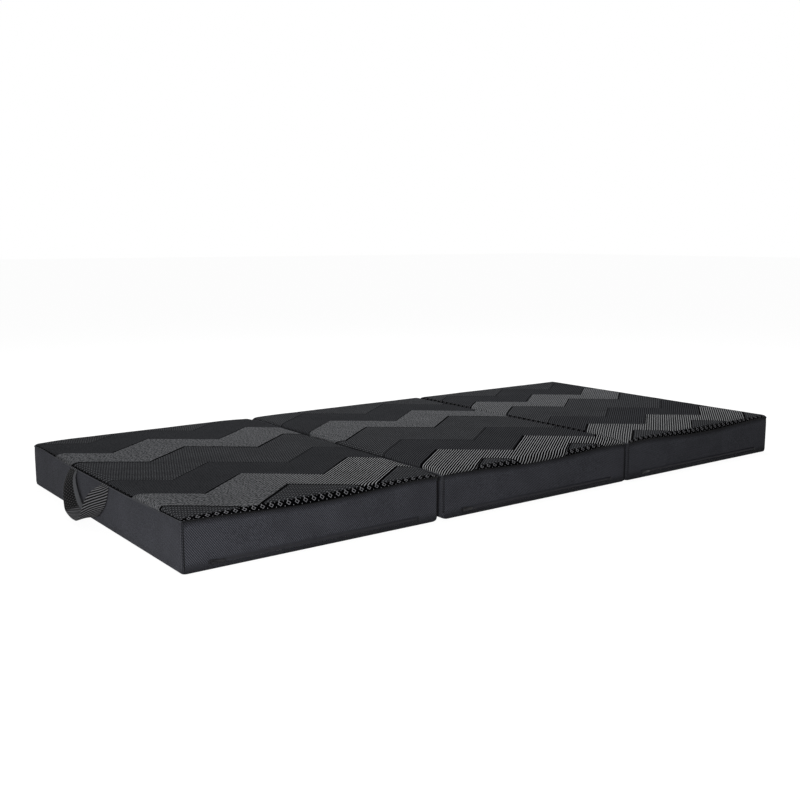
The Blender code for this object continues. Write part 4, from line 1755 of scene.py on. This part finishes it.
@dataclass
class HangingHandle:
    """The wide strap loop that hangs from the near end's seam, with its two sewn ends."""

    slab: Slab
    strap: LatticeStrap
    thick: float = 2.0 * MM
    stations: int = 132
    across: int = 14
    cup: float = 2.5 * MM
    half_wide: float = 22.5 * MM
    # The strap's wall-side edge and its free edge, from the far sewn end to the near one, in mm
    wall_edge: tuple[Triple, ...] = (
        (-951.6, 117.5, 97.8), (-956, 116.5, 86), (-959, 106, 72), (-960.5, 93, 59),
        (-961.5, 77, 45), (-962, 60, 33), (-959, 34, 20), (-957, 8, 13.8), (-956, -22, 22.5),
        (-955.5, -45, 37), (-955, -64, 54), (-953.6, -76, 74), (-951.6, -82.5, 97.8))
    free_edge: tuple[Triple, ...] = (
        (-951.6, 162.5, 97.8), (-964, 155, 82.5), (-975, 142, 67), (-983, 128, 50.5),
        (-989, 110, 33), (-995, 84, 19), (-997.5, 50, 13.2), (-998.5, 20, 12.2),
        (-998.5, -6, 16), (-995, -19, 34), (-990, -28, 59), (-977, -32, 81),
        (-951.6, -37.5, 97.8))

    def curve(self, marks: tuple[Triple, ...]) -> np.ndarray:
        """Return an even number of points on a smooth line through marks given in mm.

        Args:
            marks: The marks from the far sewn end to the near one.

        Returns:
            Evenly spread points in metres.
        """
        rows = np.array(marks) * MM
        rows = np.vstack([2 * rows[0] - rows[1], rows, 2 * rows[-1] - rows[-2]])
        spots = []
        for place in np.linspace(0, len(marks) - 1, self.stations + 1):
            step = min(int(place), len(marks) - 2)
            t = place - step
            a, b, c, d = rows[step:step + 4]
            spots.append(0.5 * (2 * b + (c - a) * t + (2 * a - 5 * b + 4 * c - d) * t * t
                                + (3 * b - a - 3 * c + d) * t ** 3))
        return np.array(spots)

    def build(self) -> list[Object]:
        """Build and dress the loop and its sewn ends.

        Returns:
            The finished pieces.
        """
        inner, outer = self.curve(self.wall_edge), self.curve(self.free_edge)
        middle = (inner + outer) / 2
        run = np.concatenate([[0], np.cumsum(np.linalg.norm(np.diff(middle, axis=0), axis=1))])
        along = np.gradient(middle, axis=0)
        along[0] = along[-1] = (0, 0, 1)
        along[0] *= -1
        rings, flats = [], []
        for i in range(self.stations + 1):
            flat = outer[i] - inner[i]
            thick = np.cross(flat, along[i])
            thick /= np.linalg.norm(thick)
            ease = float(smooth(np.array(min(i, self.stations - i) / (0.3 * self.stations))))
            ring, mapped = [], []
            shares = np.linspace(-1, 1, self.across + 1)
            for face in (-1, 1):
                for share in shares[::-face]:
                    bulk = self.thick / 2 * (1 - 0.55 * abs(share) ** 8)
                    bend = self.cup * ease * (1 - share * share)
                    ring.append(middle[i] + flat * share / 2 + thick * (face * bulk + bend))
                    mapped.append((run[i] - run[-1] / 2,
                                   share * self.half_wide + (face > 0) * INNER_FACE))
            rings.append(ring)
            flats.append(mapped)
        points, faces, _ = loft(np.array(rings), False, np.zeros(len(rings[0])))
        piece = mesh_piece("carry_strap_1", points, faces,
                           {"Fabric": np.array(flats).reshape(-1, 2)})
        fix_normals(piece)
        settle(piece, self.strap, "handle_1", ("handle_1",))
        return [piece] + sewn_ends("handle_1", "panel_1", "strap_end_1", self.strap)


def fix_normals(piece: Object) -> None:
    """Turn a closed shell's faces outwards.

    Args:
        piece: The closed piece.
    """
    shape = bmesh.new()
    shape.from_mesh(piece.data)
    bmesh.ops.recalc_face_normals(shape, faces=shape.faces)
    shape.to_mesh(piece.data)
    shape.free()


def sewn_ends(node: str, body: str, name: str, strap: LatticeStrap) -> list[Object]:
    """Build the two sewn ends of a strap as soft folded blocks.

    Args:
        node: The CAD handle whose tabs are replaced.
        body: The panel they are sewn to.
        name: The start of the new pieces' names.
        strap: The webbing's finish.

    Returns:
        The front and the back end.
    """
    made = []
    for place in ("front", "back"):
        tab = f"{node}_tab_{place}"
        low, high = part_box(tab)
        piece = cube_at(tab, f"{name}_{place}")
        edit_all(bpy.ops.mesh.subdivide, number_cuts=6)
        edge = piece.modifiers.new("edge", "BEVEL")
        edge.width, edge.segments = 0.5 * MM, 3
        apply_modifiers(piece)
        keep_edges(piece, 40)
        piece.data.uv_layers[0].name = "Fabric"
        rows = piece.data.uv_layers[0].data
        for loop in piece.data.loops:
            spot = piece.data.vertices[loop.vertex_index].co
            rows[loop.index].uv = (spot.z, spot.y - (low.y + high.y) / 2)
        made.append(settle(piece, strap, body, (tab,)))
    return made


@dataclass
class TuckedHandle:
    """The strap loop folded flat in the second fold's crease, with its two sewn ends."""

    strap: LatticeStrap
    offset: float = 15 * MM
    inner: float = 65 * MM
    outer: float = 135 * MM
    slope: float = math.tan(math.radians(38))
    strap_middle: float = 62 * MM

    def build(self) -> list[Object]:
        """Build and dress the flat loop and its sewn ends.

        Returns:
            The finished pieces.
        """
        low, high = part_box("handle_2")
        flat = self.outer - (high.z - low.z) / self.slope
        outline = [(-self.outer, low.z), (-self.inner, low.z),
                   (0, low.z + self.inner * self.slope), (self.inner, low.z),
                   (self.outer, low.z), (flat, high.z), (-flat, high.z)]
        shape = bmesh.new()
        corners = [shape.verts.new((low.x, self.offset + y, z)) for y, z in outline]
        shape.faces.new(corners)
        bmesh.ops.triangulate(shape, faces=shape.faces)
        bmesh.ops.subdivide_edges(shape, edges=shape.edges, cuts=5, use_grid_fill=True)
        mesh = bpy.data.meshes.new("carry_strap_2")
        shape.to_mesh(mesh)
        shape.free()
        piece = stand("carry_strap_2", mesh)
        thicken(piece, high.x - low.x, -1)
        fix_normals(piece)
        lowest = min(v.co.x for v in piece.data.vertices)
        for vertex in piece.data.vertices:
            vertex.co.x += low.x - lowest
        rows = piece.data.uv_layers.new(name="Fabric").data
        lean = math.atan(self.slope)
        for loop in piece.data.loops:
            spot = piece.data.vertices[loop.vertex_index].co
            side = abs(spot.y - self.offset)
            along = (spot.z - low.z) * math.sin(lean) - side * math.cos(lean)
            over = (spot.z - low.z) * math.cos(lean) + side * math.sin(lean)
            rows[loop.index].uv = (along, over - self.strap_middle)
        settle(piece, self.strap, "handle_2", ("handle_2",))
        return [piece] + sewn_ends("handle_2", "panel_2", "strap_end_2", self.strap)


@dataclass
class Studio:
    """The white floor, the plain soft light and the camera of the photograph."""

    eye: Triple = (-1.7152, -2.1676, 0.6364)
    yaw: float = math.radians(36.765)
    pitch: float = math.radians(-9.162)
    roll: float = math.radians(0.026)
    lens: float = 45.06
    # What the mattress gets of the world's white, and how brightly the floor glows
    fill: float = 0.13
    glow: float = 0.95

    def build(self) -> None:
        """Build the camera, the lights, the world and the floor."""
        self.camera()
        self.world()
        self.floor()
        self.lamp("key", place=(-2.45, -2.15, 0.55), target=(-0.95, -0.45, 0.05), size=1.0, power=45)
        self.lamp("overhead", place=(0.5, 1.0, 2.5), target=(0.1, 0.0, 0.1), size=2.6, power=54)

    def camera(self) -> None:
        """Place the camera at the photograph's eye point."""
        ahead = Vector((math.sin(self.yaw) * math.cos(self.pitch),
                        math.cos(self.yaw) * math.cos(self.pitch), math.sin(self.pitch)))
        data = bpy.data.cameras.new("camera")
        data.sensor_width, data.lens = 36.0, self.lens
        data.clip_start, data.clip_end = 0.05, 100
        camera = stand("camera", data)
        turn = ahead.to_track_quat("-Z", "Y").to_matrix().to_4x4()
        roll = Matrix.Rotation(self.roll, 4, "Z")
        camera.matrix_world = Matrix.Translation(self.eye) @ turn @ roll
        bpy.context.scene.camera = camera

    def lamp(self, name: str, place: Triple, target: Triple, size: float, power: float) -> None:
        """Add one large soft lamp that looks at a point.

        Args:
            name: The lamp's name.
            place: Where it stands.
            target: The point it looks at.
            size: Its width.
            power: Its power in watts.
        """
        data = bpy.data.lights.new(name, "AREA")
        data.size, data.energy = size, power
        lamp = stand(name, data)
        lamp.location = place
        lamp.rotation_euler = (Vector(target) - Vector(place)).to_track_quat("-Z", "Y").to_euler()

    def seen(self, add: Add) -> Node:
        """Return 1 for rays that show the background to the eye, straight or mirrored.

        Args:
            add: Adds a node to the material.

        Returns:
            A node with 1 or 0.
        """
        path = add("LightPath")
        both = add("MAXIMUM", path.outputs["Is Camera Ray"], path.outputs["Is Glossy Ray"])
        return add("MAXIMUM", both, path.outputs["Is Transmission Ray"])

    def world(self) -> None:
        """Make the world white to the eye and a plain soft light to the mattress."""
        world = bpy.data.worlds.new("studio")
        bpy.context.scene.world = world
        world.use_nodes = True
        tree = world.node_tree
        add = partial(add_node, tree)
        sockets = tree.nodes["Background"].inputs
        feed(tree, sockets[0], (1, 1, 1, 1))
        feed(tree, sockets[1], add("MapRange", self.seen(add), 0.0, 1.0, self.fill, 1.0))

    def floor(self) -> None:
        """Lay a white floor that keeps a soft shadow under the mattress."""
        deselect_all()
        bpy.ops.mesh.primitive_plane_add(size=60, location=(0, 0, -0.0008))
        floor = bpy.context.active_object
        floor.name = "floor"
        bpy.ops.object.transform_apply(location=True)
        made = bpy.data.materials.new("white_studio_floor")
        made.use_nodes = True
        tree = made.node_tree
        tree.nodes.remove(tree.nodes["Principled BSDF"])
        add = partial(add_node, tree)
        matt = add("BsdfDiffuse", (0.2, 0.2, 0.2, 1.0))
        glow = add("Emission", (1, 1, 1, 1), add("MULTIPLY", self.seen(add), self.glow))
        feed(tree, tree.nodes["Material Output"].inputs[0], add("AddShader", matt, glow))
        floor.data.materials.append(made)


def main() -> None:
    """Build every sub-assembly in order."""
    logging.basicConfig(level=logging.INFO, format="%(message)s")
    bpy.context.scene.view_settings.view_transform = "Standard"
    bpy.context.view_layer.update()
    Studio().build()

    # For each panel: the rounding of its foot at both ends, the sag of its end seams, the bulge of
    # its walls, its soft corners (which, and how deep), and the lattice's height on its ends
    feet = ((5 * MM, 14 * MM), (14 * MM, 4 * MM), (4 * MM, 5 * MM))
    bows = ((4 * MM, 2 * MM), (2 * MM, 1 * MM), (1 * MM, 4 * MM))
    swells = ((2 * MM, 0.6 * MM, 2.5 * MM), (0.6 * MM, 1.6 * MM, 2.5 * MM),
              (1.6 * MM, 0.4 * MM, 2.5 * MM))
    dips = (((1, -1, 3 * MM), (1, 1, 3 * MM), (-1, 1, 3 * MM)),
            ((-1, -1, 2 * MM), (1, -1, 6 * MM), (-1, 1, 2 * MM)),
            ((-1, -1, 6 * MM),))
    knits = (
        JacquardKnit(1, period=0.289, peak=-0.6934, band_peak=-0.1964, slope=0.807, repeat=0.497,
                     low_shift=33 * MM, band_from=0.710, fade=(-0.72, -0.50), skew=-0.022,
                     trim_over=1.0, edge_wide=6.0),
        JacquardKnit(2, period=0.298, peak=-0.1705, band_peak=-0.2554, slope=0.80, repeat=0.495,
                     low_shift=29 * MM, band_from=0.715, edge_wide=5.0),
        JacquardKnit(3, period=0.2517, peak=0.397, band_peak=-0.2384, slope=0.808, repeat=0.4857,
                     low_shift=30 * MM, band_from=0.718, clear=(0.75, 0.30), trim_over=1.0,
                     edge_wide=3.6))
    trims = ((5.5 * MM, 2 * MM), (2 * MM, 13 * MM), (13 * MM, 9 * MM))
    slabs = []
    rows = zip(feet, bows, swells, dips, trims)
    for i, (foot, bow, swell, dip, trim) in enumerate(rows, start=1):
        low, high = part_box(f"side_band_{i}")
        slabs.append(Slab(i, low.x, high.x, high.y, foot[0], foot[1], end_bow=bow, dips=dip,
                          bulge=swell, end_trims=trim))
    twill = TwillCloth()
    cord = PlainWeave("woven_polyester_piping", "#27282c", "#56575c", pitch=2.4 * MM,
                      front_shade=0.12)
    hinge = PlainWeave("woven_polyester_hinge_tape", "#17171a", "#2a2a2e", pitch=2.4 * MM)
    valley = PlainWeave("warp_knit_polyester_fold", "#121214", "#38393c", pitch=4 * MM)
    # Tape and coil are drawn lighter than black nylon: painted light that evens out the shade in the
    # zip's slot
    tape = ZipNylon("woven_nylon_zip_tape", "#4e4f55", 0.95, 0.0)
    coil = ZipNylon("nylon_zip_coil", "#2e2e33", 0.6, 0.25)
    zinc = LacqueredZinc()
    strap = LatticeStrap()
    for slab, knit in zip(slabs, knits):
        FoamPair(slab).build()
        BaseTray(slab, twill).build()
        SideBand(slab, twill).build()
        KnitTop(slab, knit).build()
        Piping(slab, cord).build()
        FrontZip(slab, tape, coil, zinc).build()
    TopFold(slabs[0], slabs[1], valley).build()
    BottomFold(slabs[1], slabs[2], hinge).build()
    HangingHandle(slabs[0], strap).build()
    TuckedHandle(strap).build()


if __name__ == "__main__":
    main()
